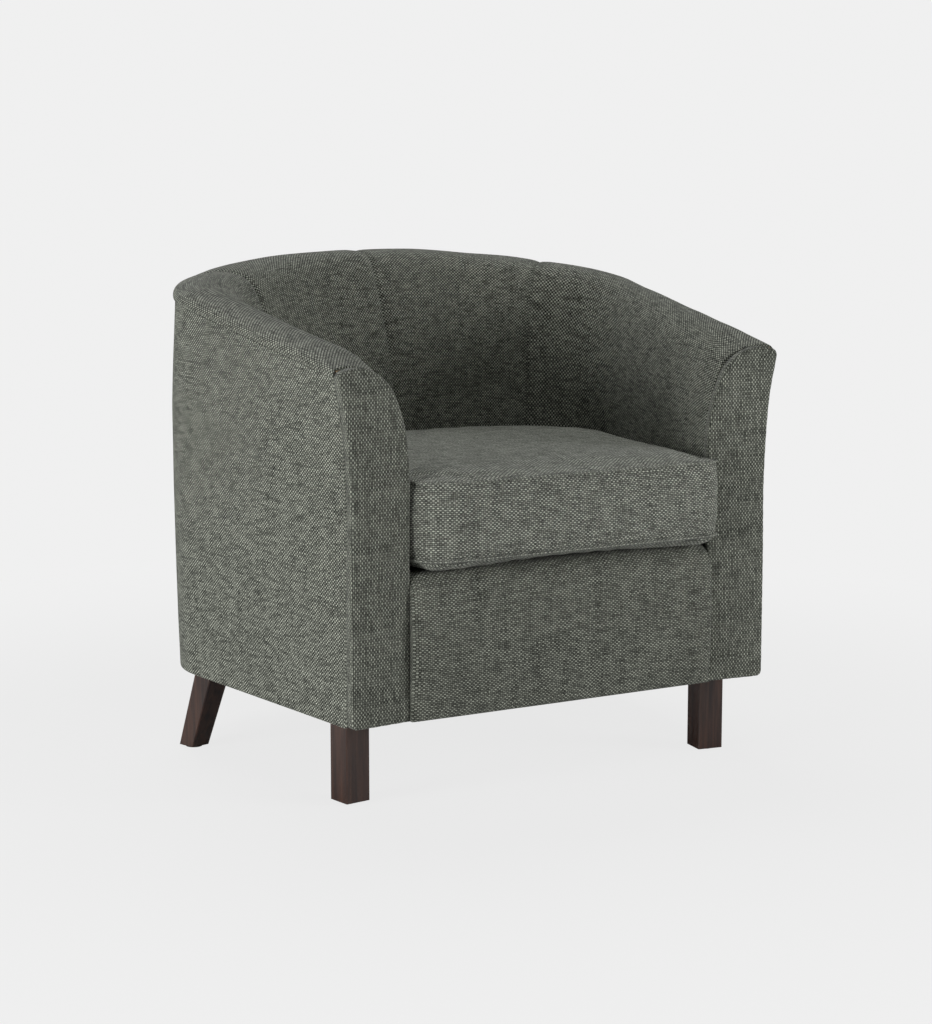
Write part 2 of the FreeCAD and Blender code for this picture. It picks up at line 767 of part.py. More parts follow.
def cushion_top():
    """Crown: a quarter wave from the seam to a nearly flat middle."""
    rise = CUSHION_CROWN - CUSHION_TOP_SEAM
    levels = []
    for k in range(5):
        a = math.pi / 2 * k / 4
        levels.append((110.0 * (1 - math.cos(a)), CUSHION_TOP_SEAM + rise * math.sin(a)))
    return cushion_loft(levels)


def cushion_bottom():
    drop = CUSHION_LOW_SEAM - CUSHION_BOTTOM
    levels = []
    for k in range(3):
        a = math.pi / 2 * k / 2
        levels.append((14.0 * (1 - math.sin(a)), CUSHION_BOTTOM + drop * (1 - math.cos(a))))
    return cushion_loft(levels)


def arc_box(r0, r1, half_angle, z0, z1):
    """Curved bar about the centre of the cushion's back arc."""
    plan = cushion_plan(0.0)
    c = V(0, plan["yc"], z0)

    def p(r, a):
        return c + V(r * math.sin(a), r * math.cos(a), 0)

    edges = [
        Part.Arc(p(r0, -half_angle), p(r0, 0), p(r0, half_angle)).toShape(),
        joined(p(r0, half_angle), p(r1, half_angle)),
        Part.Arc(p(r1, half_angle), p(r1, 0), p(r1, -half_angle)).toShape(),
        joined(p(r1, -half_angle), p(r0, -half_angle)),
    ]
    return prism(Part.Wire(edges), z1 - z0)


def zip_radius():
    return cushion_plan(0.0)["r2"]


def zip_slot():
    r = zip_radius()
    return arc_box(r - 6.0, r + 9.0, ZIP_SPAN, ZIP_Z - ZIP_HALF_HEIGHT, ZIP_Z + ZIP_HALF_HEIGHT)


def zip_tapes():
    r = zip_radius()
    tapes = []
    for s in (-1, 1):
        z0, z1 = sorted((ZIP_Z + s * 1.2, ZIP_Z + s * (ZIP_HALF_HEIGHT - GAP)))
        tapes.append(arc_box(r + 1.4, r + 2.0, ZIP_SPAN - 0.001, z0, z1))
    return Part.makeCompound(tapes)


def zip_teeth():
    """Two rows of moulded teeth on the edges of the tapes."""
    r = zip_radius()
    teeth = []
    count = 52
    pitch = 2 * (ZIP_SPAN - 0.02) / (count - 1)
    c = V(0, cushion_plan(0.0)["yc"], 0)
    for k in range(count):
        a = -ZIP_SPAN + 0.02 + k * pitch
        s = -1 if k % 2 else 1
        z0 = ZIP_Z + 0.9 if s > 0 else ZIP_Z - 2.9
        tooth = Part.makeBox(2.6, 1.4, 2.0, V(-1.3, r + 2.1, z0))
        tooth.rotate(V(0, 0, 0), V(0, 0, 1), -math.degrees(a))
        tooth.translate(c)
        teeth.append(tooth)
    return Part.makeCompound(teeth)


def zip_slider():
    """Slider round the teeth: two plates joined by a bridge, with a pull on its face."""
    r = zip_radius()
    c = V(0, cushion_plan(0.0)["yc"], 0)
    front = Part.makeBox(14, 0.9, 9.0, V(-7, r + 3.9, ZIP_Z - 4.5))
    behind = Part.makeBox(14, 0.9, 9.0, V(-7, r + 0.1, ZIP_Z - 4.5))
    post = Part.makeBox(3.0, 4.7, 1.2, V(4.0, r + 0.1, ZIP_Z - 0.6))
    lug = Part.makeBox(6.0, 1.6, 2.0, V(-3.0, r + 4.8, ZIP_Z - 1.0))
    body = front.fuse([behind, post, lug]).removeSplitter()
    body.translate(c)
    return body


def zip_pull():
    r = zip_radius()
    c = V(0, cushion_plan(0.0)["yc"], 0)
    tab = Part.makeBox(7.0, 1.2, 24.0, V(-3.5, r + 5.0, ZIP_Z - 26.0))
    tab = tab.makeFillet(2.0, [e for e in tab.Edges if abs(e.tangentAt(0).y) > 0.9])
    eye = Part.makeBox(4.0, 3.0, 1.6, V(-2.0, r + 4.0, ZIP_Z - 5.4))
    tab = tab.cut(eye)
    tab.translate(c)
    return tab


PARTS = {}


def keep(name, shape):
    PARTS[name] = shape


def pair(name, shape):
    keep(name + "_right", shape)
    keep(name + "_left", mirror(shape))


def build():
    pair("inside_arm", padding(arm_stations()))
    pair("inside_back", padding(back_stations()))
    side, back = outside_panels()
    pair("outside_arm_panel", side)
    keep("outside_back_panel", back)
    pair("facing", facing())
    pair("facing_board", facing_board())
    pair("corner_post", corner_post())
    pair("side_seat_rail", side_seat_rail())
    pair("arm_post", arm_post())
    rail, rail_back = top_rail_parts()
    pair("top_rail", rail)
    keep("top_rail_back", rail_back)
    pair("side_rail", side_rail())
    keep("back_rail", back_rail())
    keep("front_rail", front_rail())
    keep("back_seat_rail", back_seat_rail())
    keep("back_uprights", back_uprights())
    keep("corner_blocks", corner_blocks())
    pair("front_leg", front_leg())
    pair("rear_leg", rear_leg())
    keep("leg_bolts", leg_bolts())
    keep("leg_nuts", leg_nuts())
    keep("leg_glides", leg_glides())
    keep("seat_springs", springs())
    keep("spring_clips", spring_clips())
    keep("spring_tie_wires", tie_wires())
    keep("spring_cover", deck_layer(319.5, 320.7))
    keep("deck_pad", deck_layer(321.0, 329.0))
    keep("deck_cloth", deck_layer(329.2, DECK_TOP))
    keep("front_apron", apron())
    keep("dust_cover", dust_cover())
    keep("back_webbing", back_webbing())
    build_cushion()


def build_cushion():
    keep("cushion_top", cushion_top())
    keep("cushion_border", cushion_border())
    keep("cushion_bottom", cushion_bottom())
    keep("cushion_foam", cushion_core(COVER + GAP))
    keep("zip_tapes", zip_tapes())
    keep("zip_teeth", zip_teeth())
    keep("zip_slider", zip_slider())
    keep("zip_pull", zip_pull())


build()
os.makedirs("parts", exist_ok=True)
for name, shape in PARTS.items():
    shape.translate(V(0, -ROW_Y, 0))
    shape.exportStep("parts/%s.step" % name)
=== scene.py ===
import json
import math
import bpy
import numpy as np
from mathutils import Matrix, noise


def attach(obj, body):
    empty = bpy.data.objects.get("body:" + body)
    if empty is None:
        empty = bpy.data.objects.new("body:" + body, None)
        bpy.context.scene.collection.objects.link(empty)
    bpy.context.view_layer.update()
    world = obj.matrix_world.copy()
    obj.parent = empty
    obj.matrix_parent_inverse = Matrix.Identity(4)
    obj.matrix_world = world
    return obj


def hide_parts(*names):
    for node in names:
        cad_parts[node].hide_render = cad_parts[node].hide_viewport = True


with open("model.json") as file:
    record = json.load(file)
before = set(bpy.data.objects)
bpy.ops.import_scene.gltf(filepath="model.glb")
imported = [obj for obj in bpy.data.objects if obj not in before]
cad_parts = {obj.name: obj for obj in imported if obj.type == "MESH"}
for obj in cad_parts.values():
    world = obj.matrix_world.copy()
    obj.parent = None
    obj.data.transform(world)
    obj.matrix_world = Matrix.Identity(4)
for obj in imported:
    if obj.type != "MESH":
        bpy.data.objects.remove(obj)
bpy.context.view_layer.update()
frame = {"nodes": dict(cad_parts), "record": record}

# Lengths below are millimetres from the floor point under the outer front corners.
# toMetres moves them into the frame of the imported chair.
middleY = 338.5
rim = {"front": 608.0, "slope": 0.1625, "half": 360.0, "cornerHalf": 390.5,
       "cornerY": 425.0, "cornerR": 162.0, "depth": 697.0, "seamAngle": 48.5}
outerLevels = [(123.0, 342.0, 387.0, 698.0), (300.0, 340.4, 389.2, 700.6),
               (400.0, 339.5, 390.5, 702.0), (520.0, 344.5, 391.0, 702.0),
               (600.0, 358.0, 390.3, 699.7), (680.0, 371.5, 389.7, 697.3),
               (760.0, 385.0, 389.0, 695.0)]
facingToe = math.radians(5.98)


def toMetres(points):
    points = np.asarray(points, dtype=float)
    return (points - (0.0, middleY, 0.0)) / 1000.0


def mix(a, b, f):
    return a + (b - a) * f


def rimZ(y):
    return rim["front"] + rim["slope"] * y


# Outlines of the tub seen from above.


def tubPlan(half, cornerHalf, cornerY, cornerR, depth, inset=0.0):
    flare = (cornerHalf - half) / cornerY
    tau = math.atan(flare)
    n = (-math.cos(tau), math.sin(tau))
    c = (cornerHalf + cornerR * n[0], cornerY + cornerR * n[1])
    q = depth - cornerR
    yc = (q * q - c[0] ** 2 - c[1] ** 2) / (2 * (q - c[1]))
    return {"flare": flare, "tau": tau, "c": c, "yc": yc, "joint": math.atan2(c[1] - yc, c[0]),
            "r1": cornerR - inset, "r2": depth - yc - inset,
            "p1": (cornerHalf + inset * n[0], cornerY + inset * n[1])}


def sideX(plan, y):
    return plan["p1"][0] - plan["flare"] * (plan["p1"][1] - y)


# Lengths of the straight side, the corner and the half back.
def runs(plan, startY):
    straight = math.hypot(plan["p1"][0] - sideX(plan, startY), plan["p1"][1] - startY)
    return (straight, plan["r1"] * (plan["joint"] + plan["tau"]),
            plan["r2"] * (math.pi / 2 - plan["joint"]))


# Point and outward normal at a distance along the right half of a plan.
def walk(plan, startY, run):
    straight, corner, _ = runs(plan, startY)
    if run <= straight:
        k = run / straight
        p = (mix(sideX(plan, startY), plan["p1"][0], k), mix(startY, plan["p1"][1], k))
        a = -plan["tau"]
    elif run <= straight + corner:
        a = -plan["tau"] + (run - straight) / plan["r1"]
        p = (plan["c"][0] + plan["r1"] * math.cos(a), plan["c"][1] + plan["r1"] * math.sin(a))
    else:
        a = plan["joint"] + (run - straight - corner) / plan["r2"]
        p = (plan["r2"] * math.cos(a), plan["yc"] + plan["r2"] * math.sin(a))
    return p, (math.cos(a), math.sin(a))


# Distance along the plan where its back arc (or its corner arc) has turned to angle.
def runToAngle(plan, startY, angle):
    straight, corner, _ = runs(plan, startY)
    if angle < plan["joint"]:
        return straight + plan["r1"] * (angle + plan["tau"])
    return straight + corner + plan["r2"] * (angle - plan["joint"])


def outerPlan(z):
    rows = np.array(outerLevels)
    return tubPlan(*[float(np.interp(z, rows[:, 0], rows[:, k])) for k in (1, 2)],
                   rim["cornerY"], rim["cornerR"], float(np.interp(z, rows[:, 0], rows[:, 3])))


rimPlan = tubPlan(rim["half"], rim["cornerHalf"], rim["cornerY"], rim["cornerR"], rim["depth"])
wellPlan = tubPlan(246.5, 278.2, 300.0, 150.0, 498.0)


# Fractions along a length: close together at both ends, even between.
def spaced(length, step, edge=(0.5, 1.0, 1.7, 2.6, 4.0, 6.5), count=0):
    head = [0.0] + list(edge)
    count = count or max(2, int(round((length - 2 * head[-1]) / step)))
    middle = list(np.linspace(head[-1], length - head[-1], count + 1))
    tail = [length - e for e in reversed(head[:-1])]
    return np.array(head[:-1] + middle + tail) / length


# Running length at each point of a line.
def runAlong(points):
    steps = np.linalg.norm(np.diff(np.asarray(points, dtype=float), axis=0), axis=1)
    return np.concatenate([[0.0], np.cumsum(steps)])


def resample(points, fractions):
    points = np.asarray(points, dtype=float)
    along = runAlong(points)
    at = np.asarray(fractions) * along[-1]
    return np.stack([np.interp(at, along, points[:, k]) for k in range(points.shape[1])], axis=1)


def lengthOf(points):
    return float(np.linalg.norm(np.diff(np.asarray(points), axis=0), axis=1).sum())


# Points on the circle through three points of a plane.
def arcThrough(a, b, c, count=24):
    ax, ay, bx, by, cx, cy = *a, *b, *c
    d = 2 * (ax * (by - cy) + bx * (cy - ay) + cx * (ay - by))
    ux = ((ax**2 + ay**2) * (by - cy) + (bx**2 + by**2) * (cy - ay) + (cx**2 + cy**2) * (ay - by)) / d
    uy = ((ax**2 + ay**2) * (cx - bx) + (bx**2 + by**2) * (ax - cx) + (cx**2 + cy**2) * (bx - ax)) / d
    r = math.hypot(ax - ux, ay - uy)
    t0, t1, t2 = (math.atan2(y - uy, x - ux) for x, y in (a, b, c))
    turn = (t2 - t0) % (2 * math.pi)
    if (t1 - t0) % (2 * math.pi) > turn:
        turn -= 2 * math.pi
    t = t0 + turn * np.linspace(0, 1, count)
    return np.stack([ux + r * np.cos(t), uy + r * np.sin(t)], axis=1)


# Catmull-Rom curve through points.
def smoothCurve(points, perSpan=12):
    p = np.asarray(points, dtype=float)
    p = np.vstack([2 * p[0] - p[1], p, 2 * p[-1] - p[-2]])
    out = []
    for k in range(1, len(p) - 2):
        for t in np.linspace(0, 1, perSpan, endpoint=False):
            out.append(0.5 * (2 * p[k] + (p[k + 1] - p[k - 1]) * t
                              + (2 * p[k - 1] - 5 * p[k] + 4 * p[k + 1] - p[k + 2]) * t**2
                              + (3 * p[k] - p[k - 1] - 3 * p[k + 1] + p[k + 2]) * t**3))
    out.append(p[-2])
    return np.array(out)


# Grid filled in between four edge curves; rows run from low to high.
def coons(low, high, left, right):
    n, m = len(low), len(left)
    s = np.linspace(0, 1, n)[None, :, None]
    t = np.linspace(0, 1, m)[:, None, None]
    rows = (1 - t) * low[None] + t * high[None] + (1 - s) * left[:, None] + s * right[:, None]
    return rows - ((1 - s) * (1 - t) * low[0] + s * (1 - t) * low[-1]
                   + (1 - s) * t * high[0] + s * t * high[-1])


def unit(vectors):
    return vectors / np.maximum(np.linalg.norm(vectors, axis=-1, keepdims=True), 1e-9)


def gridNormals(grid):
    return unit(np.cross(np.gradient(grid, axis=1), np.gradient(grid, axis=0)))


def turned(faces):
    return [tuple(reversed(f)) for f in faces]


# Mirrors a half line over X = 0 and joins both halves.
def bothHalves(half):
    return np.vstack([(half * (-1.0, 1.0))[::-1], half[1:]])


def cells(rows, cols, start=0, wrap=False):
    span = cols if wrap else cols - 1
    return [(start + r * cols + c, start + r * cols + (c + 1) % cols,
             start + (r + 1) * cols + (c + 1) % cols, start + (r + 1) * cols + c)
            for r in range(rows - 1) for c in range(span)]


# Indices round the border of a grid.
def rimLoop(rows, cols):
    return ([c for c in range(cols)] + [r * cols + cols - 1 for r in range(1, rows)]
            + [(rows - 1) * cols + c for c in range(cols - 2, -1, -1)]
            + [r * cols for r in range(rows - 2, 0, -1)])


# Faces of a thin shell: a grid, the same grid behind it, and the walls between their borders.
def shellFaces(rows, cols, start=0):
    count = rows * cols
    loop = [start + k for k in rimLoop(rows, cols)]
    walls = [(b, a, a + count, b + count) for a, b in zip(loop, loop[1:] + loop[:1])]
    return cells(rows, cols, start) + turned(cells(rows, cols, start + count)) + walls


# Faces of a loft: count closed rings of size points, with both ends shut.
def loftFaces(count, size):
    ends = [tuple(range(size - 1, -1, -1)), tuple((count - 1) * size + k for k in range(size))]
    return cells(count, size, wrap=True) + ends


def newPiece(name, points, faces, uv=None, material=None, smooth=True):
    mesh = bpy.data.meshes.new(name)
    mesh.from_pydata([tuple(p) for p in toMetres(points)], [], [tuple(f) for f in faces])
    if uv is not None:
        layer = mesh.uv_layers.new(name="clothGrain")
        corners = np.empty(len(mesh.loops), dtype=np.int32)
        mesh.loops.foreach_get("vertex_index", corners)
        layer.data.foreach_set("uv", (np.asarray(uv)[corners] / 1000.0).ravel())
    if smooth:
        mesh.polygons.foreach_set("use_smooth", [True] * len(mesh.polygons))
    if material:
        mesh.materials.append(material)
    mesh.update()
    piece = bpy.data.objects.new(name, mesh)
    bpy.context.scene.collection.objects.link(piece)
    return piece


# The same uv for a back face, pushed out at its borders so the walls have cloth too.
def wallUv(uv, thick):
    back = uv.copy()
    back[:, 0, 0] -= thick
    back[:, -1, 0] += thick
    back[0, :, 1] -= thick
    back[-1, :, 1] += thick
    return back


# Closed padded skin: a seen grid, the same grid set back by thick, and its edges.
def clothShell(name, face, uv, thick, material, drop=None):
    n = gridNormals(face)
    front = face if drop is None else face - n * drop[..., None]
    back = face - n * thick
    uvs = np.vstack([uv.reshape(-1, 2), wallUv(uv, thick).reshape(-1, 2)])
    points = np.vstack([front.reshape(-1, 3), back.reshape(-1, 3)])
    return newPiece(name, points, shellFaces(*face.shape[:2]), uvs, material)


# How far a rounded edge falls away at a distance from the border.
def edgeDrop(distance, radius):
    d = np.clip(distance, 0, radius)
    return radius - np.sqrt(np.maximum(radius**2 - (radius - d) ** 2, 0))


def easeIn(distance, reach):
    return 1 - np.exp(-distance / reach)


# Unrolled lengths of a grid, measured from its lower left corner.
def gridUv(grid):
    du = np.linalg.norm(np.diff(grid, axis=1), axis=2)
    dv = np.linalg.norm(np.diff(grid, axis=0), axis=2)
    u = np.concatenate([np.zeros((grid.shape[0], 1)), np.cumsum(du, axis=1)], axis=1)
    v = np.concatenate([np.zeros((1, grid.shape[1])), np.cumsum(dv, axis=0)], axis=0)
    return np.stack([u, v], axis=2)


# Distance of each grid point from the nearest border.
def borderDistance(uv):
    run = gridUv(uv)
    left = np.stack([run[:, -1:, 0] - run[..., 0], run[-1:, :, 1] - run[..., 1]], axis=2)
    return np.minimum(run, left).min(axis=2)


# Soft unevenness of stuffed cloth: smooth noise sampled at each point.
def wave(points, size, height, seed=0.0):
    flat = np.asarray(points).reshape(-1, 3) / size
    values = [noise.noise((p[0] + seed, p[1] - seed, p[2] + 2 * seed)) for p in flat]
    return np.array(values).reshape(np.asarray(points).shape[:-1]) * height


def mirrored(grid):
    flipped = grid.copy()
    flipped[..., 0] *= -1
    return flipped[:, ::-1]


def feed(tree, socket, value):
    if isinstance(value, bpy.types.NodeSocket):
        tree.links.new(value, socket)
    elif socket.type == "RGBA":
        socket.default_value = (*value, 1.0)
    else:
        socket.default_value = value


# New node; its inputs are given by name or number, as values or as sockets to link.
def addNode(tree, kind, inputs=None, **settings):
    node = tree.nodes.new(kind)
    node.location = (170.0 * len(tree.nodes), -60.0 * (len(tree.nodes) % 4))
    for key, value in settings.items():
        setattr(node, key, value)
    for key, value in (inputs or {}).items():
        feed(tree, node.inputs[key], value)
    return node


def mathNode(tree, operation, *values, clamp=False):
    return addNode(tree, "ShaderNodeMath", dict(enumerate(values)), operation=operation, use_clamp=clamp).outputs[0]


def vectorNode(tree, operation, *values):
    return addNode(tree, "ShaderNodeVectorMath", dict(enumerate(values)), operation=operation).outputs[0]


def mixValue(tree, factor, a, b):
    return addNode(tree, "ShaderNodeMix", {0: factor, 2: a, 3: b}, data_type="FLOAT").outputs[0]


def mixColour(tree, factor, a, b, blend="MIX"):
    return addNode(tree, "ShaderNodeMix", {0: factor, 6: a, 7: b}, data_type="RGBA", blend_type=blend).outputs[2]


def mapRange(tree, value, fromRange, toRange=(0.0, 1.0), **settings):
    return addNode(tree, "ShaderNodeMapRange", {
        "Value": value, "From Min": fromRange[0], "From Max": fromRange[1],
        "To Min": toRange[0], "To Max": toRange[1]}, **settings).outputs[0]


def noiseNode(tree, vector, **settings):
    inputs = {key.capitalize(): value for key, value in settings.items()}
    return addNode(tree, "ShaderNodeTexNoise", {"Vector": vector, **inputs})


def newGroup(name, inputs, outputs):
    group = bpy.data.node_groups.new(name, "ShaderNodeTree")
    for way, sockets in (("INPUT", inputs), ("OUTPUT", outputs)):
        for label, kind in sockets.items():
            group.interface.new_socket(label, in_out=way, socket_type="NodeSocket" + kind)
    return group, addNode(group, "NodeGroupInput").outputs, addNode(group, "NodeGroupOutput")


# Light weft over dark warp in a plain weave. Slub tones run along each yarn, wander bends the
# yarns a little, and streaks are noise drawn out along the warp. The colour also carries painted
# shade, darker where each yarn dips and between the weft rows.
weaveShape = {"wander": (0.0011, 0.0011, 0.0), "warpShare": 0.8, "yarnStep": 5.37, "slubReach": 0.13,
              "slubSpread": (0.33, 0.67), "warpTones": (-0.02, 0.2), "weftTones": (0.3, 1.1),
              "streaks": (95.0, 9.0, 1.0), "crown": 0.45, "rowPower": 0.6, "gapPower": 0.8}


def hopsackGroup():
    w = weaveShape
    group, given, result = newGroup("hopsackWeave", {
        "Vector": "Vector", "Yarn width": "Float", "Dark yarn": "Color", "Light yarn": "Color",
        "Melange": "Float", "Gap shade": "Float", "Rib": "Float", "Warp tone": "Float"},
        {"Color": "Color", "Height": "Float"})

    def sums(operation, *values, clamp=False):
        return mathNode(group, operation, *values, clamp=clamp)

    wander = noiseNode(group, given["Vector"], scale=40.0, detail=1.0)
    bent = vectorNode(group, "MULTIPLY_ADD", wander.outputs["Color"], w["wander"], given["Vector"])
    scaled = addNode(group, "ShaderNodeVectorMath", {0: bent, "Scale": sums("DIVIDE", 1.0, given["Yarn width"])},
                     operation="SCALE")
    split = addNode(group, "ShaderNodeSeparateXYZ", {0: scaled.outputs[0]})
    u, v = sums("MULTIPLY", split.outputs[0], w["warpShare"]), split.outputs[1]
    cellU, cellV = sums("FLOOR", u), sums("FLOOR", v)
    acrossU, acrossV = (sums("ABSOLUTE", sums("SINE", sums("MULTIPLY", way, math.pi))) for way in (u, v))
    over = sums("LESS_THAN", sums("FLOORED_MODULO", sums("ADD", cellU, cellV), 2.0), 0.5)
    tones = []
    for cell, along, spread in ((cellU, v, w["warpTones"]), (cellV, u, w["weftTones"])):
        spot = addNode(group, "ShaderNodeCombineXYZ", {0: sums("MULTIPLY", cell, w["yarnStep"]),
                                                       1: sums("MULTIPLY", along, w["slubReach"])})
        slub = addNode(group, "ShaderNodeTexNoise", {"Vector": spot.outputs[0], "Scale": 1.0, "Detail": 3.0,
                                                     "Roughness": 0.7}, noise_dimensions="2D")
        tones.append(mapRange(group, slub.outputs[0], w["slubSpread"], spread))
    tone = mixValue(group, over, sums("ADD", tones[0], given["Warp tone"]), tones[1])
    crowns = [sums("MULTIPLY", main, sums("MULTIPLY_ADD", other, w["crown"], 1.0 - w["crown"]))
              for main, other in ((acrossU, acrossV), (acrossV, acrossU))]
    height = mixValue(group, over, *crowns)
    streak = noiseNode(group, vectorNode(group, "MULTIPLY", given["Vector"], w["streaks"]), scale=1.0, detail=3.0)
    lift = sums("MULTIPLY", sums("SUBTRACT", streak.outputs[0], 0.5), given["Melange"])
    yarn = mixColour(group, sums("ADD", tone, lift, clamp=True), given["Dark yarn"], given["Light yarn"])
    # Painted shade: the yarn colour is darkened where the yarn height falls and, as strong as Rib, in the gaps
    # between weft rows.
    rows = sums("MULTIPLY", sums("POWER", acrossV, w["rowPower"]), given["Rib"])
    between = sums("ADD", rows, sums("SUBTRACT", 1.0, given["Rib"]))
    shade = sums("POWER", sums("MULTIPLY", height, between), w["gapPower"])
    depth = addNode(group, "ShaderNodeCombineColor", {0: shade, 1: shade, 2: shade})
    feed(group, result.inputs["Color"], mixColour(group, given["Gap shade"], yarn, depth.outputs[0], "MULTIPLY"))
    feed(group, result.inputs["Height"], height)
    return group


# Straight grain along Z with fine pores.
woodShape = {"grain": (130.0, 130.0, 7.0), "pores": (900.0, 900.0, 40.0), "bands": (0.35, 0.68),
             "poreHeight": 0.5, "poreRoughness": 0.25, "roughness": 0.26}


def woodGroup():
    w = woodShape
    group, given, result = newGroup("straightGrain", {
        "Vector": "Vector", "Early wood": "Color", "Late wood": "Color", "Figure": "Float"},
        {"Color": "Color", "Height": "Float", "Roughness": "Float"})
    grain = noiseNode(group, vectorNode(group, "MULTIPLY", given["Vector"], w["grain"]),
                      scale=1.0, detail=5.0, distortion=0.6)
    pores = noiseNode(group, vectorNode(group, "MULTIPLY", given["Vector"], w["pores"]), scale=1.0)
    bands = mapRange(group, grain.outputs[0], w["bands"])
    figure = mathNode(group, "MULTIPLY", bands, given["Figure"])
    feed(group, result.inputs["Color"], mixColour(group, figure, given["Early wood"], given["Late wood"]))
    feed(group, result.inputs["Height"], mathNode(group, "MULTIPLY_ADD", pores.outputs[0], w["poreHeight"], bands))
    feed(group, result.inputs["Roughness"],
         mathNode(group, "MULTIPLY_ADD", pores.outputs[0], w["poreRoughness"], w["roughness"]))
    return group


def newMaterial(name, settings=None):
    material = bpy.data.materials.new(name)
    material.use_nodes = True
    tree = material.node_tree
    shader = tree.nodes["Principled BSDF"]
    for key, value in (settings or {}).items():
        feed(tree, shader.inputs[key], value)
    return material, tree, shader


def bumpFrom(tree, height, distance, strength, shader):
    bump = addNode(tree, "ShaderNodeBump", {"Distance": distance, "Strength": strength, "Height": height})
    feed(tree, shader.inputs["Normal"], bump.outputs[0])


hopsack = hopsackGroup()
straightGrain = woodGroup()


def clothMaterial(name, settings):
    material, tree, shader = newMaterial(name, {
        "Roughness": 0.93, "Specular IOR Level": 0.18, "Sheen Weight": 0.12, "Sheen Roughness": 0.5})
    grain = addNode(tree, "ShaderNodeUVMap", uv_map="clothGrain")
    yarns = {key: value for key, value in settings.items() if key != "bump"}
    weave = addNode(tree, "ShaderNodeGroup", {"Vector": grain.outputs[0], **yarns}, node_tree=hopsack)
    feed(tree, shader.inputs["Base Color"], weave.outputs["Color"])
    bumpFrom(tree, weave.outputs["Height"], 0.0007, settings["bump"], shader)
    return material


def woodMaterial(name, early, late, figure, coat):
    material, tree, shader = newMaterial(name, {"Coat Weight": coat, "Coat Roughness": 0.3})
    place = addNode(tree, "ShaderNodeTexCoord")
    wood = addNode(tree, "ShaderNodeGroup", {"Vector": place.outputs["Object"], "Early wood": early,
                                             "Late wood": late, "Figure": figure}, node_tree=straightGrain)
    feed(tree, shader.inputs["Base Color"], wood.outputs["Color"])
    feed(tree, shader.inputs["Roughness"], wood.outputs["Roughness"])
    bumpFrom(tree, wood.outputs["Height"], 0.0003, 0.35, shader)
    return material


# Mottled surface for hidden parts: two colours, uneven roughness and a fine bump.
def plainMaterial(name, low, high, scale, roughness, metallic=0.0, stretch=(1.0, 1.0, 1.0)):
    material, tree, shader = newMaterial(name, {"Metallic": metallic})
    place = addNode(tree, "ShaderNodeTexCoord")
    shape = addNode(tree, "ShaderNodeMapping", {"Vector": place.outputs["Object"], "Scale": stretch})
    speck = noiseNode(tree, shape.outputs[0], scale=scale, detail=4.0)
    feed(tree, shader.inputs["Base Color"], mixColour(tree, speck.outputs[0], low, high))
    feed(tree, shader.inputs["Roughness"], mathNode(tree, "MULTIPLY_ADD", speck.outputs[0], 0.2, roughness - 0.1))
    bumpFrom(tree, speck.outputs[0], 0.0004, 0.3, shader)
    return material


# Gap shade and Rib set the painted shade in the dips between yarns and in the gaps between weft rows; the ribbed
# settings paint the row gaps darkest.
clothFinish = {"Yarn width": 0.0026, "Dark yarn": (0.012, 0.014, 0.011), "Light yarn": (0.6, 0.63, 0.53),
               "Melange": 0.22, "Gap shade": 0.85, "Rib": 0.1, "Warp tone": 0.0, "bump": 0.5}
ribbed = {"Rib": 1.0, "Warp tone": 0.17, "Melange": 0.36, "Gap shade": 0.97}
cloth = clothMaterial("greyGreenHopsack", clothFinish)
# The cushion's cloth is a lighter copy of the same cloth: painted light for the brighter light that falls on the
# cushion.
cushionClothLit = clothMaterial("greyGreenHopsackCushionLit", {**clothFinish, **ribbed, "bump": 0.6,
                                                           "Light yarn": (0.82, 0.86, 0.74)})
ribbedCloth = clothMaterial("greyGreenHopsackRibbed", {**clothFinish, **ribbed})
darkWood = woodMaterial("espressoStainedBeech", (0.075, 0.034, 0.022), (0.022, 0.011, 0.009), 1.0, 0.25)
palePine = woodMaterial("sawnFrameTimber", (0.62, 0.45, 0.27), (0.42, 0.27, 0.14), 0.8, 0.0)
liningBlack = plainMaterial("blackNonWoven", (0.012, 0.012, 0.013), (0.035, 0.035, 0.036), 900.0, 0.9)
foamCream = plainMaterial("creamFoam", (0.72, 0.66, 0.5), (0.84, 0.79, 0.64), 1400.0, 0.95)
feltGrey = plainMaterial("greyFelt", (0.2, 0.21, 0.22), (0.45, 0.44, 0.42), 700.0, 0.95)
webbingBlack = plainMaterial("elasticWebbing", (0.02, 0.02, 0.02), (0.09, 0.09, 0.085), 500.0, 0.8,
                             stretch=(1.0, 1.0, 0.2))
springSteel = plainMaterial("oiledSpringSteel", (0.2, 0.2, 0.2), (0.42, 0.41, 0.4), 160.0, 0.38, 1.0)
zincSteel = plainMaterial("zincPlate", (0.5, 0.51, 0.5), (0.74, 0.74, 0.7), 220.0, 0.34, 1.0)
glideBlack = plainMaterial("mouldedGlide", (0.012, 0.012, 0.012), (0.03, 0.03, 0.03), 300.0, 0.5)
zipBlack = plainMaterial("zipTeeth", (0.03, 0.032, 0.028), (0.06, 0.062, 0.056), 400.0, 0.42)
zipEnamel = plainMaterial("zipSliderEnamel", (0.05, 0.052, 0.048), (0.1, 0.1, 0.095), 300.0, 0.3, 0.6)

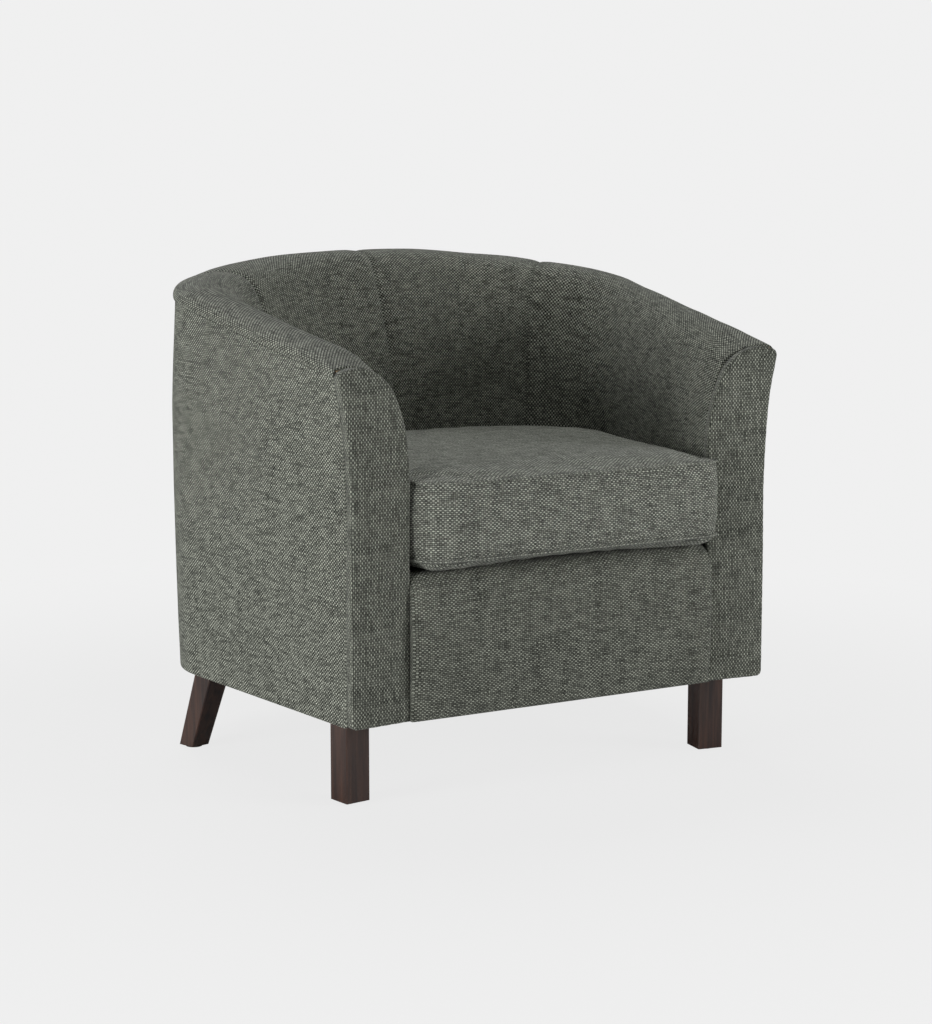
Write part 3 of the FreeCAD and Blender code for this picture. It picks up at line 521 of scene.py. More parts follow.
slotFinish = {"stained_wood": darkWood, "frame_timber": palePine, "foam": foamCream, "felt": feltGrey,
              "lining": liningBlack, "webbing": webbingBlack, "spring_steel": springSteel,
              "zinc_steel": zincSteel, "glide_plastic": glideBlack, "zip_plastic": zipBlack,
              "zip_tape": webbingBlack, "zip_metal": zipEnamel, "upholstery": cloth,
              "cushion_cover": cushionClothLit}
for part in frame["record"]["subparts"]:
    node = frame["nodes"][part["node"]]
    for place in node.material_slots:
        place.material = slotFinish[part["material_slot"]]
print("materials placed on", len(frame["nodes"]), "CAD nodes")


# A padded piece stands for its CAD nodes, which it hides, and rides on their body.
def dressAs(piece, nodes, body):
    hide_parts(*nodes)
    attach(piece, body)


# Outside panels: stretched cloth with soft borders.

outsideSettings = {"startDepth": 14.4, "joinAngle": 45.5, "thick": 3.0, "edgeR": 1.7, "swell": 1.3, "step": 9.0,
                   "lowered": 9.6, "foot": 123.0, "height": 520.0, "seamGap": 0.15, "lump": (110.0, 0.6)}


# Point at height fraction f of the outside wall; run is measured on the rim's plan.
def outerPoint(run, z0, f, fromY, scale):
    y = 350.0
    for _ in range(4):
        z = mix(z0, rimZ(y) - outsideSettings["lowered"], f)
        plan = outerPlan(z)
        whole = sum(runs(plan, fromY))
        p, _ = walk(plan, fromY, min(run * whole / scale, whole))
        y = p[1]
    return (p[0], p[1], z)


def outsideGrid(fromRun, toRun, scale):
    s = outsideSettings
    us = mix(fromRun, toRun, spaced(toRun - fromRun, s["step"]))
    vs = spaced(s["height"], s["step"])
    return np.array([[outerPoint(u, s["foot"], v, s["startDepth"], scale) for u in us] for v in vs])


# Lifts the lower corners of a panel on a quarter circle.
def bottomRounding(uv, radius=9.0):
    run = np.minimum(uv[..., 0], uv[:, -1:, 0] - uv[..., 0])
    rise = radius - np.sqrt(np.maximum(radius**2 - np.clip(radius - run, 0, radius) ** 2, 0))
    return rise * np.clip(1 - uv[..., 1] / 60.0, 0, 1)


def outsidePanel(name, grid, node, shift):
    s = outsideSettings
    uv = gridUv(grid)
    edge = borderDistance(uv)
    drop = edgeDrop(edge, s["edgeR"]) - s["swell"] * easeIn(edge, 60.0)
    drop -= wave(grid, *s["lump"], shift) * easeIn(edge, 30.0)
    grid[..., 2] += bottomRounding(uv) if "Arm" in name else 0.0
    piece = clothShell(name, grid, uv + (shift * 100.0, 0.0), s["thick"], cloth, drop)
    dressAs(piece, [node], "chair")


rimWhole = sum(runs(rimPlan, outsideSettings["startDepth"]))
joinRun = runToAngle(rimPlan, outsideSettings["startDepth"], math.radians(outsideSettings["joinAngle"]))
sideGrid = outsideGrid(0.0, joinRun - outsideSettings["seamGap"], rimWhole)
halfBack = outsideGrid(joinRun + outsideSettings["seamGap"], rimWhole, rimWhole)
backGrid = np.concatenate([halfBack, mirrored(halfBack)[:, 1:]], axis=1)
outsidePanel("outsideArmRight", sideGrid, "outside_arm_panel_right", 1.0)
outsidePanel("outsideArmLeft", mirrored(sideGrid), "outside_arm_panel_left", 2.0)
outsidePanel("outsideBack", backGrid, "outside_back_panel", 3.0)
print("outside panels made")


# Inside arms and inside back.

padSettings = {"samples": 64, "armSteps": 62, "backSteps": 34, "seamDepth": 3.0, "pucker": 0.7,
               "puckerPitch": 21.0, "puckerDrift": 37.0, "swell": 1.0, "bottom": 331.4, "knee": 440.0,
               "seamWidth": 5.5, "freeEdgeR": 2.2, "lump": (70.0, 1.6)}


# Points of the pad's seen face from its upright side over the top to the lip below the rim:
# inward and up on the arm, extra height at the arm's front end, inward and up on the back.
padPoints = {"turn": (93.0, -31.0, -7.0, 118.0, -16.0), "roundOut": (83.5, -8.0, -9.0, 110.0, 3.0),
             "crest": (58.0, 9.0, -11.0, 88.0, 11.0), "top": (29.0, 11.5, -6.0, 40.0, 12.5),
             "shoulder": (9.5, 5.5, -2.0, 9.5, 4.4), "edge": (1.5, -0.4, 0.0, 1.5, -0.4),
             "lip": (-0.1, -9.4, 0.0, -0.1, -9.4)}
padShape = {"leanFrom": 118.0, "leanOver": 80.0, "belly": (8.0, 14.0), "rear": (58.0, 72.0), "rearStep": 39.0,
            "railTop": 49.0, "panel": 3.0, "ends": (0.6, 1.4, 2.6, 4.4, 6.6, 9.0, 12.0, 15.5, 20.0, 25.0)}


# Seen line, seen normals and hidden corners of one upright section of the padding.
def padSection(outer, inner, front, count):
    p, q = np.array(outer), np.array(inner)
    seat = float(np.linalg.norm(q - p))
    n = (q - p) / seat
    s = padShape
    lean = min(1.0, max(0.0, (seat - s["leanFrom"]) / s["leanOver"]))
    z0 = rimZ(p[1])
    low, knee = (seat, padSettings["bottom"]), (seat, padSettings["knee"])
    turn, roundOut, crest, top, shoulder, edge, lip = [
        (mix(a, c, lean), z0 + mix(b + rise * front, d, lean)) for a, b, rise, c, d in padPoints.values()]
    middle = ((knee[0] + turn[0]) / 2 + mix(*s["belly"], lean), (knee[1] + turn[1]) / 2)
    line = np.vstack([np.linspace(low, knee, 12)[:-1], arcThrough(knee, middle, turn, 30)[:-1],
                      arcThrough(turn, roundOut, crest, 24)[:-1], arcThrough(crest, top, shoulder, 24)[:-1],
                      arcThrough(shoulder, edge, lip, 16)])
    line = resample(line, spaced(lengthOf(line), 0, s["ends"], count))
    for _ in range(10):
        line[9:-11] = line[9:-11] * 0.5 + (line[8:-12] + line[10:-10]) * 0.25
    tangent = unit(np.gradient(line, axis=0))
    normal = np.stack([tangent[:, 1], -tangent[:, 0]], axis=1)
    rear = seat - mix(*s["rear"], lean)
    railTop = z0 + rim["slope"] * s["railTop"] * n[1]
    hidden = [(s["panel"], z0 - 9.4), (s["panel"] + 0.2, z0 + 0.4), (s["railTop"], railTop + 0.6),
              (s["railTop"], railTop - 28.0), (rear, 440.0), (rear + s["rearStep"] * lean, padSettings["bottom"])]

    def place(pair):
        return np.array([p[0] + n[0] * pair[0], p[1] + n[1] * pair[0], pair[1]])

    seen = np.array([place(pair) for pair in line])
    out = np.array([(n[0] * a, n[1] * a, b) for a, b in normal])
    return seen, out, np.array([place(pair) for pair in hidden])


# Closed pad lofted through stations; seams is (start, end), true where a sewn seam is.
def paddingPiece(name, stations, node, seams, flip, seed):
    s = padSettings
    seen, outs, hidden = (np.array(part) for part in zip(*stations))
    run, up = runAlong(seen[:, -12]), runAlong(seen[len(seen) // 2])
    uv = np.stack(np.meshgrid(run, up, indexing="ij"), axis=2)
    edge = np.minimum(run, run[-1] - run)
    lift = s["swell"] * easeIn(edge, 25.0)[:, None] * np.ones(len(up))
    for isSeam, distance in zip(seams, (run, run[-1] - run)):
        if isSeam:
            d = distance[:, None]
            lift = lift - s["seamDepth"] * np.exp(-((d / s["seamWidth"]) ** 1.3))
            gather = np.sin(up / s["puckerPitch"] * 2 * math.pi + 2.5 * np.sin(up / s["puckerDrift"] + seed))
            lift = lift - s["pucker"] * gather[None, :] * np.exp(-d / 16.0) * easeIn(d, 4.0)
        else:
            lift = lift - edgeDrop(distance, s["freeEdgeR"])[:, None]
    lift = lift + wave(seen, *s["lump"], seed) * easeIn(edge, 30.0)[:, None]
    fade = np.minimum(1.0, np.minimum(up / 12.0, (up[-1] - up) / 30.0))
    seen = seen + outs * (lift * fade[None, :])[..., None]
    rings = np.concatenate([seen, hidden], axis=1)
    uvRing = np.concatenate([uv, np.repeat(uv[:, -1:], hidden.shape[1], axis=1)], axis=1)
    if flip:
        rings[..., 0] *= -1
    faces = loftFaces(*rings.shape[:2])
    if flip:
        faces = turned(faces)
    piece = newPiece(name, rings.reshape(-1, 3), faces, uvRing.reshape(-1, 2) + (seed * 90.0, 0.0), cloth)
    dressAs(piece, [node], "chair")


# Point behind the facing's front by depth, inward from its outer corner by w.
def facingPoint(depth, w, z=0.0):
    s, c = math.sin(facingToe), math.cos(facingToe)
    return (rim["half"] + depth * s - w * c, depth * c + w * s, z)


firstOuter = facingPoint(14.4, 0.0)
firstInner = facingPoint(14.4, 113.5)
armEnd = runToAngle(rimPlan, firstOuter[1], math.radians(rim["seamAngle"]) - 0.0006)
wellEnd = runToAngle(wellPlan, firstInner[1], wellPlan["joint"] - 0.0008)
armFractions = spaced(armEnd, armEnd / padSettings["armSteps"], (0.6, 1.4, 2.6, 4.5, 7.5))


def armStations():
    made = []
    for f in armFractions:
        outer, _ = walk(rimPlan, firstOuter[1], armEnd * f)
        inner, _ = walk(wellPlan, firstInner[1], wellEnd * f)
        front = max(0.0, 1.0 - f / 0.12)
        made.append(padSection(outer, inner, front * front * (3 - 2 * front), padSettings["samples"]))
    return made


def backStations():
    made = []
    a0, b0 = math.radians(rim["seamAngle"]) + 0.0006, wellPlan["joint"] + 0.0008
    end = math.pi / 2 - 0.0004
    span = rimPlan["r2"] * (end - a0)
    for f in spaced(span, span / padSettings["backSteps"], (0.6, 1.4, 2.6, 4.5, 7.5)):
        a, b = mix(a0, end, f), mix(b0, end, f)
        outer = (rimPlan["r2"] * math.cos(a), rimPlan["yc"] + rimPlan["r2"] * math.sin(a))
        inner = (wellPlan["r2"] * math.cos(b), wellPlan["yc"] + wellPlan["r2"] * math.sin(b))
        made.append(padSection(outer, inner, 0.0, padSettings["samples"]))
    return made


arms, backs = armStations(), backStations()
paddingPiece("insideArmRight", arms, "inside_arm_right", (False, True), False, 1.0)
paddingPiece("insideArmLeft", arms, "inside_arm_left", (False, True), True, 2.0)
paddingPiece("insideBackRight", backs, "inside_back_right", (True, True), False, 3.0)
paddingPiece("insideBackLeft", backs, "inside_back_left", (True, True), True, 4.0)
print("inside arms and back made")


# Front facings of the arms.

facingSettings = {"edgeR": 3.0, "thick": 14.0, "swell": 2.6, "step": 6.0, "width": 95.0, "height": 490.0,
                  "ends": (0.35, 0.8, 1.4, 2.2, 3.4, 5.5), "lump": (60.0, 1.0)}


# Border of the facing as four curves: outer side, top, inner side and foot.
def facingCurves():
    toe = arcThrough((27, 123), (20.8, 125.8), (18.6, 132), 10)
    foot = np.vstack([toe[5::-1], [(113.5, 123)]])
    outer = np.vstack([toe[5:-1], smoothCurve([(18.6, 132), (19, 300), (20, 420), (14, 530), (2.2, 597.5)])])
    tip = arcThrough((2.2, 597.5), (4.1, 605.9), (11, 610.1), 12)
    crest = arcThrough((11, 610.1), (29, 613.0), (58, 606))
    roll = arcThrough((58, 606), (80.5, 590), (93, 570))
    inner = smoothCurve([(93, 570), (107, 529), (114.5, 465), (113.5, 330), (113.5, 123)])
    outer = np.vstack([outer, tip[1:6]])
    shoulder = np.vstack([tip[5:-1], crest[:-1], roll])
    cut = int(len(shoulder) * 0.84)
    side = np.vstack([shoulder[cut:-1], inner])[::-1]
    return outer, shoulder[:cut + 1], side, foot


def facing(name, node, flip):
    s = facingSettings
    outer, top, side, foot = facingCurves()
    across, up = (spaced(s[key], s["step"], s["ends"]) for key in ("width", "height"))
    low = resample(foot, across)
    plane = coons(low, resample(top, across), resample(outer, up), resample(side, up))
    border = resample(np.vstack([low, side, top[::-1], outer[::-1]]), np.linspace(0, 1, 1400))
    flat = plane.reshape(-1, 2)
    edge = np.array([np.min(np.hypot(*(border - p).T)) for p in flat]).reshape(plane.shape[:2])
    depth = edgeDrop(edge, s["edgeR"]) - s["swell"] * easeIn(edge, 14.0) - 0.3
    lumps = wave(np.concatenate([plane, depth[..., None]], axis=2), *s["lump"], 5.0 if flip else 6.0)
    depth -= lumps * easeIn(edge, 12.0)

    def placed(depths):
        return np.array([[facingPoint(d, *p) for p, d in zip(row, line)] for row, line in zip(plane, depths)])

    front, back = placed(depth), placed(np.full(depth.shape, s["thick"]))
    points = np.vstack([front.reshape(-1, 3), back.reshape(-1, 3)])
    faces = shellFaces(*depth.shape)
    if flip:
        points[:, 0] *= -1
    else:
        faces = turned(faces)
    uv = np.vstack([flat, wallUv(plane, s["thick"]).reshape(-1, 2)])[:, ::-1] + (400.0 if flip else 1100.0, 0.0)
    piece = newPiece(name, points, faces, uv, ribbedCloth)
    dressAs(piece, [node], "chair")


facing("facingRight", "facing_right", False)
facing("facingLeft", "facing_left", True)
print("facings made")


apronSettings = {"half": 248.5, "step": 7.0, "swell": 2.2, "endDrop": 8.0, "cornerDrop": 9.0,
                 "lump": (80.0, 1.5), "hidden": ((33.0, 319.4), (25.4, 319.4), (25.4, 123.4))}


# Bellied front border: one section carried across between the facings.
def frontApron():
    s = apronSettings
    line = np.vstack([arcThrough((6.5, 123.4), (3.0, 124.2), (1.6, 127.5), 8)[:-1],
                      arcThrough((1.6, 127.5), (-6.0, 215), (-2, 303), 30)[:-1],
                      arcThrough((-2, 303), (4.2, 320), (21, 330.5), 16)[:-1], [(21, 330.5), (33, 330.5)]])
    line = resample(line, spaced(lengthOf(line), s["step"]))
    slope = np.gradient(line, axis=0)
    out = unit(np.stack([slope[:, 0] * 0, -slope[:, 1], slope[:, 0]], axis=1))
    xs = mix(-s["half"], s["half"], spaced(2 * s["half"], s["step"]))
    edge = s["half"] - np.abs(xs)
    fade = np.clip((26.0 - line[:, 0]) / 20.0, 0, 1) * np.clip((line[:, 1] - 123.0) / 12.0, 0, 1)
    seen = np.array([[(x, p[0], p[1]) for p in line] for x in xs])
    lift = s["swell"] * easeIn(edge, 40.0) - s["endDrop"] * np.exp(-edge / 4.0)
    lift = (lift[:, None] + wave(seen, *s["lump"], 7.0)) * fade[None, :]
    seen = seen + out[None] * lift[..., None]
    upper = np.clip((line[:, 1] - 285.0) / 40.0, 0, 1)
    seen[..., 2] -= s["cornerDrop"] * np.exp(-edge / 9.0)[:, None] * upper[None, :]
    hidden = np.array([[(x, *corner) for corner in s["hidden"]] for x in xs])
    rings = np.concatenate([seen, hidden], axis=1)
    up = runAlong(line)
    uv = np.stack(np.meshgrid(xs, np.append(up, [up[-1] + 10, up[-1] + 18, up[-1] + 200]), indexing="ij"), axis=2)
    faces = turned(loftFaces(*rings.shape[:2]))
    piece = newPiece("frontApron", rings.reshape(-1, 3), faces, uv.reshape(-1, 2) + (1500.0, 0.0), ribbedCloth)
    dressAs(piece, ["front_apron"], "chair")


frontApron()
print("apron made")


# The loose seat cushion.

cushionSettings = {"half": 239.5, "cornerHalf": 271.2, "cornerR": 144.0, "depth": 489.0, "frontY": -20.0,
                   "frontR": 34.0, "lowSeam": 346.0, "topSeam": 453.0, "crown": 7.5, "belly": 2.0,
                   "foot": 331.2, "frontCells": 84, "sideCells": 78, "borderCells": 18, "capMove": 0.009,
                   "pressure": 4.0, "frames": 20, "spread": 14.0, "dent": 9.0, "dentSize": 34.0,
                   "lump": (110.0, 2.0)}
zipPlace = {"z": 378.0, "half": 11.8, "span": 19.0, "sink": 1.0, "tapes": (2.1, 1.3),
            "gap": 1.1, "hem": 0.2, "dish": 0.25}


# Right half outline from the front middle to the back middle.
def cushionOutline(inset):
    s = cushionSettings
    plan = tubPlan(s["half"], s["cornerHalf"], 300.0, s["cornerR"], s["depth"], inset)
    y0 = s["frontY"] + inset
    r = s["frontR"]
    nx, ny = -math.cos(plan["tau"]), math.sin(plan["tau"])
    cx = sideX(plan, y0) + r * (1 - ny) / nx
    a = np.linspace(-math.pi / 2, -plan["tau"], 14)
    corner = np.stack([cx + r * np.cos(a), y0 + r + r * np.sin(a)], axis=1)
    whole = sum(runs(plan, corner[-1][1]))
    rest = np.array([walk(plan, corner[-1][1], run)[0] for run in np.linspace(0, whole, 220)])
    return np.vstack([[(0.0, y0)], corner, rest[1:]]), plan


# The closed outline as four curves for a grid: front, back, left and right.
def cushionEdges():
    line, plan = cushionOutline(0.0)
    total = lengthOf(line)
    frontPart = (lengthOf(line[:15]) - 12.0) / total
    backPart = 1.0 - plan["r2"] * (math.pi / 2 - plan["joint"]) / total - 0.075
    s = cushionSettings
    fine = np.linspace(0, 1, s["frontCells"] // 2 + 1)
    front = resample(line, frontPart * fine)
    back = resample(line, 1 - (1 - backPart) * fine)
    right = resample(line, mix(frontPart, backPart, np.linspace(0, 1, s["sideCells"] + 1)))
    return bothHalves(front), bothHalves(back), right * (-1.0, 1.0), right


# Lets the cushion spread where it stands in front of the arms; its left corner is pushed in.
def bulgeFront(plane):
    s = cushionSettings
    x, y = plane[..., 0].copy(), plane[..., 1].copy()
    f = np.clip((13.0 - y) / 24.0, 0, 1)
    spread = 1 + s["spread"] / s["half"] * f * f * (3 - 2 * f) * np.where(x > 0, 1.0, 0.35)
    near = np.exp(-((x + s["half"]) ** 2 + (y - s["frontY"]) ** 2) / s["dentSize"] ** 2)
    return np.stack([x * spread + s["dent"] * near, y + 0.75 * s["dent"] * near], axis=2)


# Top, border and bottom as one closed grid mesh; returns points, faces, seams and parts.
def cushionMesh():
    s = cushionSettings
    front, back, left, right = cushionEdges()
    plane = bulgeFront(coons(front, back, left, right))
    rows, cols = plane.shape[:2]
    loop = rimLoop(rows, cols)
    outline = plane.reshape(-1, 2)[loop]
    flat = plane.reshape(-1, 2)
    edge = np.array([np.min(np.hypot(*(outline - p).T)) for p in flat])
    rise = easeIn(edge, 42.0)
    lumps = wave(np.column_stack([flat, flat[:, :1] * 0]), *s["lump"])
    top = np.column_stack([flat, s["topSeam"] + s["crown"] * rise + lumps * rise])
    low = np.column_stack([flat, s["lowSeam"] - (s["lowSeam"] - s["foot"]) * easeIn(edge, 7.0)])
    count = rows * cols
    centre = outline.mean(axis=0)
    tangent = np.roll(outline, -1, axis=0) - np.roll(outline, 1, axis=0)
    outward = unit(np.stack([tangent[:, 1], -tangent[:, 0]], axis=1))
    if np.sum((outline - centre) * outward) < 0:
        outward = -outward
    border = []
    for k in range(1, s["borderCells"]):
        f = k / s["borderCells"]
        push = s["belly"] * math.sin(math.pi * f)
        z = mix(s["topSeam"], s["lowSeam"], f)
        border.append(np.column_stack([outline + outward * push, np.full(len(loop), z)]))
    points = np.vstack([top, low] + border)
    faces = cells(rows, cols) + turned(cells(rows, cols, count))
    size = len(loop)
    rings = [[2 * count + k * size + i for i in range(size)] for k in range(s["borderCells"] - 1)]
    rings = [loop] + rings + [[count + i for i in loop]]
    for upper, lower in zip(rings, rings[1:]):
        for i in range(size):
            j = (i + 1) % size
            faces.append((upper[i], lower[i], lower[j], upper[j]))
    return points, faces, loop, [count + i for i in loop]


# Top and bottom lie flat in the cloth; the border is unrolled along its length.
def cushionUv(mesh, outlineRun):
    layer = mesh.uv_layers.new(name="clothGrain")
    low, high = cushionSettings["lowSeam"] - 4, cushionSettings["topSeam"] + 4
    for face in mesh.polygons:
        border = abs(face.normal.z) < 0.72 and low < face.center.z * 1000 < high
        for corner in face.loop_indices:
            p = mesh.vertices[mesh.loops[corner].vertex_index].co
            if border:
                angle = math.atan2(p.y - 0.02, p.x)
                middle = math.atan2(face.center.y - 0.02, face.center.x)
                if angle - middle > math.pi:
                    angle -= 2 * math.pi
                elif middle - angle > math.pi:
                    angle += 2 * math.pi
                layer.data[corner].uv = (float(np.interp(angle, *outlineRun)), p.z)
            else:
                layer.data[corner].uv = (p.x + 3.0, p.y)


# Arc length round the outline against the angle about the cushion's middle.
def outlineTable(outline):
    pts = np.vstack([outline, outline[:1]]) / 1000.0 - (0.0, middleY / 1000.0)
    angle = np.unwrap(np.arctan2(pts[:, 1] - 0.02, pts[:, 0]))
    run = runAlong(pts)
    if angle[-1] < angle[0]:
        angle, run = angle[::-1], run[::-1]
    a3 = np.concatenate([angle[:-1] - 2 * math.pi, angle[:-1], angle + 2 * math.pi])
    step = run[-1] - run[0]
    r3 = np.concatenate([run[:-1] - step, run[:-1], run + step])
    return a3, r3


# Inflates the cover with its seams held, then limits how far each point has moved.
def settleCloth(piece, pinned, settings):
    group = piece.vertex_groups.new(name="sewnSeams")
    group.add(pinned, 1.0, "REPLACE")
    rest = np.empty(len(piece.data.vertices) * 3)
    piece.data.vertices.foreach_get("co", rest)
    cover = piece.modifiers.new("cover", "CLOTH")
    for key, value in (("vertex_group_mass", "sewnSeams"), ("use_pressure", True),
                       ("uniform_pressure_force", settings["pressure"]), ("tension_stiffness", 25),
                       ("compression_stiffness", 18), ("shear_stiffness", 6), ("bending_stiffness", 0.8),
                       ("quality", 5), ("shrink_min", -0.018)):
        setattr(cover.settings, key, value)
    cover.settings.effector_weights.gravity = 0.0
    cover.collision_settings.use_collision = False
    cover.point_cache.frame_start, cover.point_cache.frame_end = 1, settings["frames"]
    for step in range(1, settings["frames"] + 1):
        bpy.context.scene.frame_set(step)
    settled = piece.evaluated_get(bpy.context.evaluated_depsgraph_get())
    moved = np.empty(len(settled.data.vertices) * 3)
    settled.data.vertices.foreach_get("co", moved)
    piece.modifiers.remove(cover)
    bpy.context.scene.frame_set(1)
    shift = (moved - rest).reshape(-1, 3)
    size = np.linalg.norm(shift, axis=1)
    print("cushion cover moved up to", round(float(size.max()) * 1000, 1), "mm, mean",
          round(float(size.mean()) * 1000, 1))
    shift *= (np.tanh(size / settings["capMove"]) * settings["capMove"] / np.maximum(size, 1e-9))[:, None]
    return rest.reshape(-1, 3) + shift


# Keeps the settled cover on the deck, inside the well and flat behind the zip.
def fitCushion(points):
    s = cushionSettings
    p = points * 1000.0 + (0.0, middleY, 0.0)
    p[:, 2] = np.maximum(p[:, 2], s["foot"])
    _, plan = cushionOutline(0.0)
    radius = np.hypot(p[:, 0], p[:, 1] - plan["yc"])
    angle = np.degrees(np.arctan2(p[:, 0], p[:, 1] - plan["yc"]))
    side = np.clip((zipPlace["span"] + 1.2 - np.abs(angle)) / 1.2, 0, 1) * (p[:, 1] > 300)
    band = np.clip((zipPlace["half"] + 6.0 - np.abs(p[:, 2] - zipPlace["z"])) / 6.0, 0, 1)
    weight = side * band
    want = plan["r2"] - zipPlace["sink"]
    pull = np.where(radius > want - 30, weight * (want - radius), 0.0)
    scale = 1 + pull / np.maximum(radius, 1.0)
    p[:, 0] *= scale
    p[:, 1] = plan["yc"] + (p[:, 1] - plan["yc"]) * scale
    return (p - (0.0, middleY, 0.0)) / 1000.0


# Closed ring of cloth-covered cord laid along a seam.
def seamTube(name, path, radius, sides, material, outward):
    path = np.asarray(path)
    ahead = unit(np.roll(path, -1, axis=0) - np.roll(path, 1, axis=0))
    side = unit(np.cross(ahead, (0.0, 0.0, 1.0)))
    if np.sum(side[:, :2] * (path - path.mean(axis=0))[:, :2]) < 0:
        side = -side
    rise = np.cross(side, ahead)
    core = path + side * outward
    turns = np.linspace(0, 2 * math.pi, sides, endpoint=False)
    rings = np.array([[c + radius * (math.cos(t) * a + math.sin(t) * b) for t in turns]
                      for c, a, b in zip(core, side, rise)])
    count = len(path)
    faces = []
    for i in range(count):
        j = (i + 1) % count
        for k in range(sides):
            m = (k + 1) % sides
            faces.append((i * sides + k, j * sides + k, j * sides + m, i * sides + m))
    run = runAlong(path)
    uv = np.array([[(run[i], 900.0 + radius * t) for t in turns] for i in range(count)])
    piece = newPiece(name, rings.reshape(-1, 3), faces, uv.reshape(-1, 2), material)
    volume = sum(f.normal.dot(f.center - piece.data.vertices[0].co) * f.area for f in piece.data.polygons)
    if volume < 0:
        piece.data.flip_normals()
    return piece


def seatCushion():
    points, faces, topSeam, lowSeam = cushionMesh()
    piece = newPiece("seatCushion", points, faces, None, cushionClothLit)
    outline = points[topSeam][:, :2]
    coords = np.array([v.co for v in piece.data.vertices])
    coords = settleCloth(piece, topSeam + lowSeam, cushionSettings)
    coords = fitCushion(coords)
    piece.data.vertices.foreach_set("co", coords.ravel())
    piece.data.update()
    piece.vertex_groups.clear()
    finer = piece.modifiers.new("finer", "SUBSURF")
    finer.levels = finer.render_levels = 1
    finer.boundary_smooth = "ALL"
    shaped = bpy.data.meshes.new_from_object(piece.evaluated_get(bpy.context.evaluated_depsgraph_get()))
    piece.modifiers.clear()
    piece.data = shaped
    shaped.name = "seatCushion"
    cushionUv(shaped, outlineTable(outline))
    shaped.polygons.foreach_set("use_smooth", [True] * len(shaped.polygons))
    dressAs(piece, ["cushion_top", "cushion_border", "cushion_bottom", "cushion_foam"],
            "seat_cushion")
    seams = coords * 1000.0 + (0.0, middleY, 0.0)
    for name, loop, radius, out in (("cushionTopWelt", topSeam, 1.5, 0.7), ("cushionLowWelt", lowSeam, 2.3, 1.6)):
        welt = seamTube(name, seams[loop], radius, 8, cushionClothLit, out)
        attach(welt, "seat_cushion")


# Two woven tapes behind the zip's teeth, bent to the cushion's back.
def zipTapes():
    z = zipPlace
    _, plan = cushionOutline(0.0)
    points, faces, uv = [], [], []
    turns = np.radians(np.linspace(-z["span"], z["span"], 91))
    heights = np.linspace(z["gap"], z["half"] - z["hem"], 9)
    for sign in (-1.0, 1.0):
        shell = shellFaces(len(turns), len(heights), len(points))
        faces += shell if sign > 0 else turned(shell)
        for depth in z["tapes"]:
            for t in turns:
                for h in heights:
                    hollow = math.cos(math.pi * (h - z["gap"]) / (z["half"] - z["gap"] - z["hem"])) ** 2
                    r = plan["r2"] + depth - z["dish"] * hollow
                    points.append((r * math.sin(t), plan["yc"] + r * math.cos(t), z["z"] + sign * h))
                    uv.append((t * r + 3000.0, sign * h))
    piece = newPiece("zipTapes", points, faces, uv, webbingBlack)
    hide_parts("zip_tapes")
    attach(piece, "seat_cushion")


seatCushion()
zipTapes()
print("cushion made")


# Flat cloths of the seat and the underside.

deckSettings = {"half": 298.0, "cornerHalf": 334.0, "cornerY": 300.0, "cornerR": 150.0, "depth": 504.0,
                "frontY": 34.0, "z": 330.4, "thick": 1.1, "step": 9.0}
dustSettings = {"inset": 8.5, "frontY": 26.4, "z": 125.5, "thick": 0.9, "step": 9.0}


# Grid over the inside of a plan, cut straight at the front.
def tubSheet(plan, frontY, step):
    whole = sum(runs(plan, frontY))
    line = np.array([walk(plan, frontY, run)[0] for run in np.linspace(0, whole, 240)])
    sideFraction = (runs(plan, frontY)[0] + 0.55 * runs(plan, frontY)[1]) / whole
    across = np.linspace(0, 1, int(2 * plan["p1"][0] / step) // 2 * 2 + 1)
    halfAcross = np.linspace(0, 1, len(across) // 2 + 1)
    up = np.linspace(0, 1, int(plan["p1"][1] * 1.4 / step) + 1)
    right = resample(line, sideFraction * up)
    back = bothHalves(resample(line, mix(1.0, sideFraction, halfAcross)))
    x0 = line[0][0]
    front = np.stack([mix(-x0, x0, across), np.full(len(across), frontY)], axis=1)
    return coons(front, back, right * (-1.0, 1.0), right)


def sheetPiece(name, plane, z, thick, material, node, faceUp, seed):
    rows, cols = plane.shape[:2]
    grid = np.concatenate([plane, np.full((rows, cols, 1), z)], axis=2)
    grid[..., 2] += wave(grid, 60.0, 0.35, seed)
    if not faceUp:
        grid = grid[:, ::-1]
    piece = clothShell(name, grid, grid[..., :2], thick, material)
    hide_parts(node)
    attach(piece, "chair")


def flatCloths():
    s = deckSettings
    plan = tubPlan(s["half"], s["cornerHalf"], s["cornerY"], s["cornerR"], s["depth"])
    sheetPiece("deckCloth", tubSheet(plan, s["frontY"], s["step"]), s["z"], s["thick"], liningBlack,
               "deck_cloth", True, 1.0)
    s = dustSettings
    low = outerLevels[0]
    plan = tubPlan(low[1], low[2], rim["cornerY"], rim["cornerR"], low[3], s["inset"])
    sheetPiece("dustCover", tubSheet(plan, s["frontY"], s["step"]), s["z"] - s["thick"], s["thick"], liningBlack,
               "dust_cover", False, 2.0)


flatCloths()
print("sheets made")


# Staples round the dust cover.

stapleSettings = {"pitch": 0.028, "length": 0.011, "wire": 0.0011, "turn": 0.35, "inset": 12.0, "seed": 4}


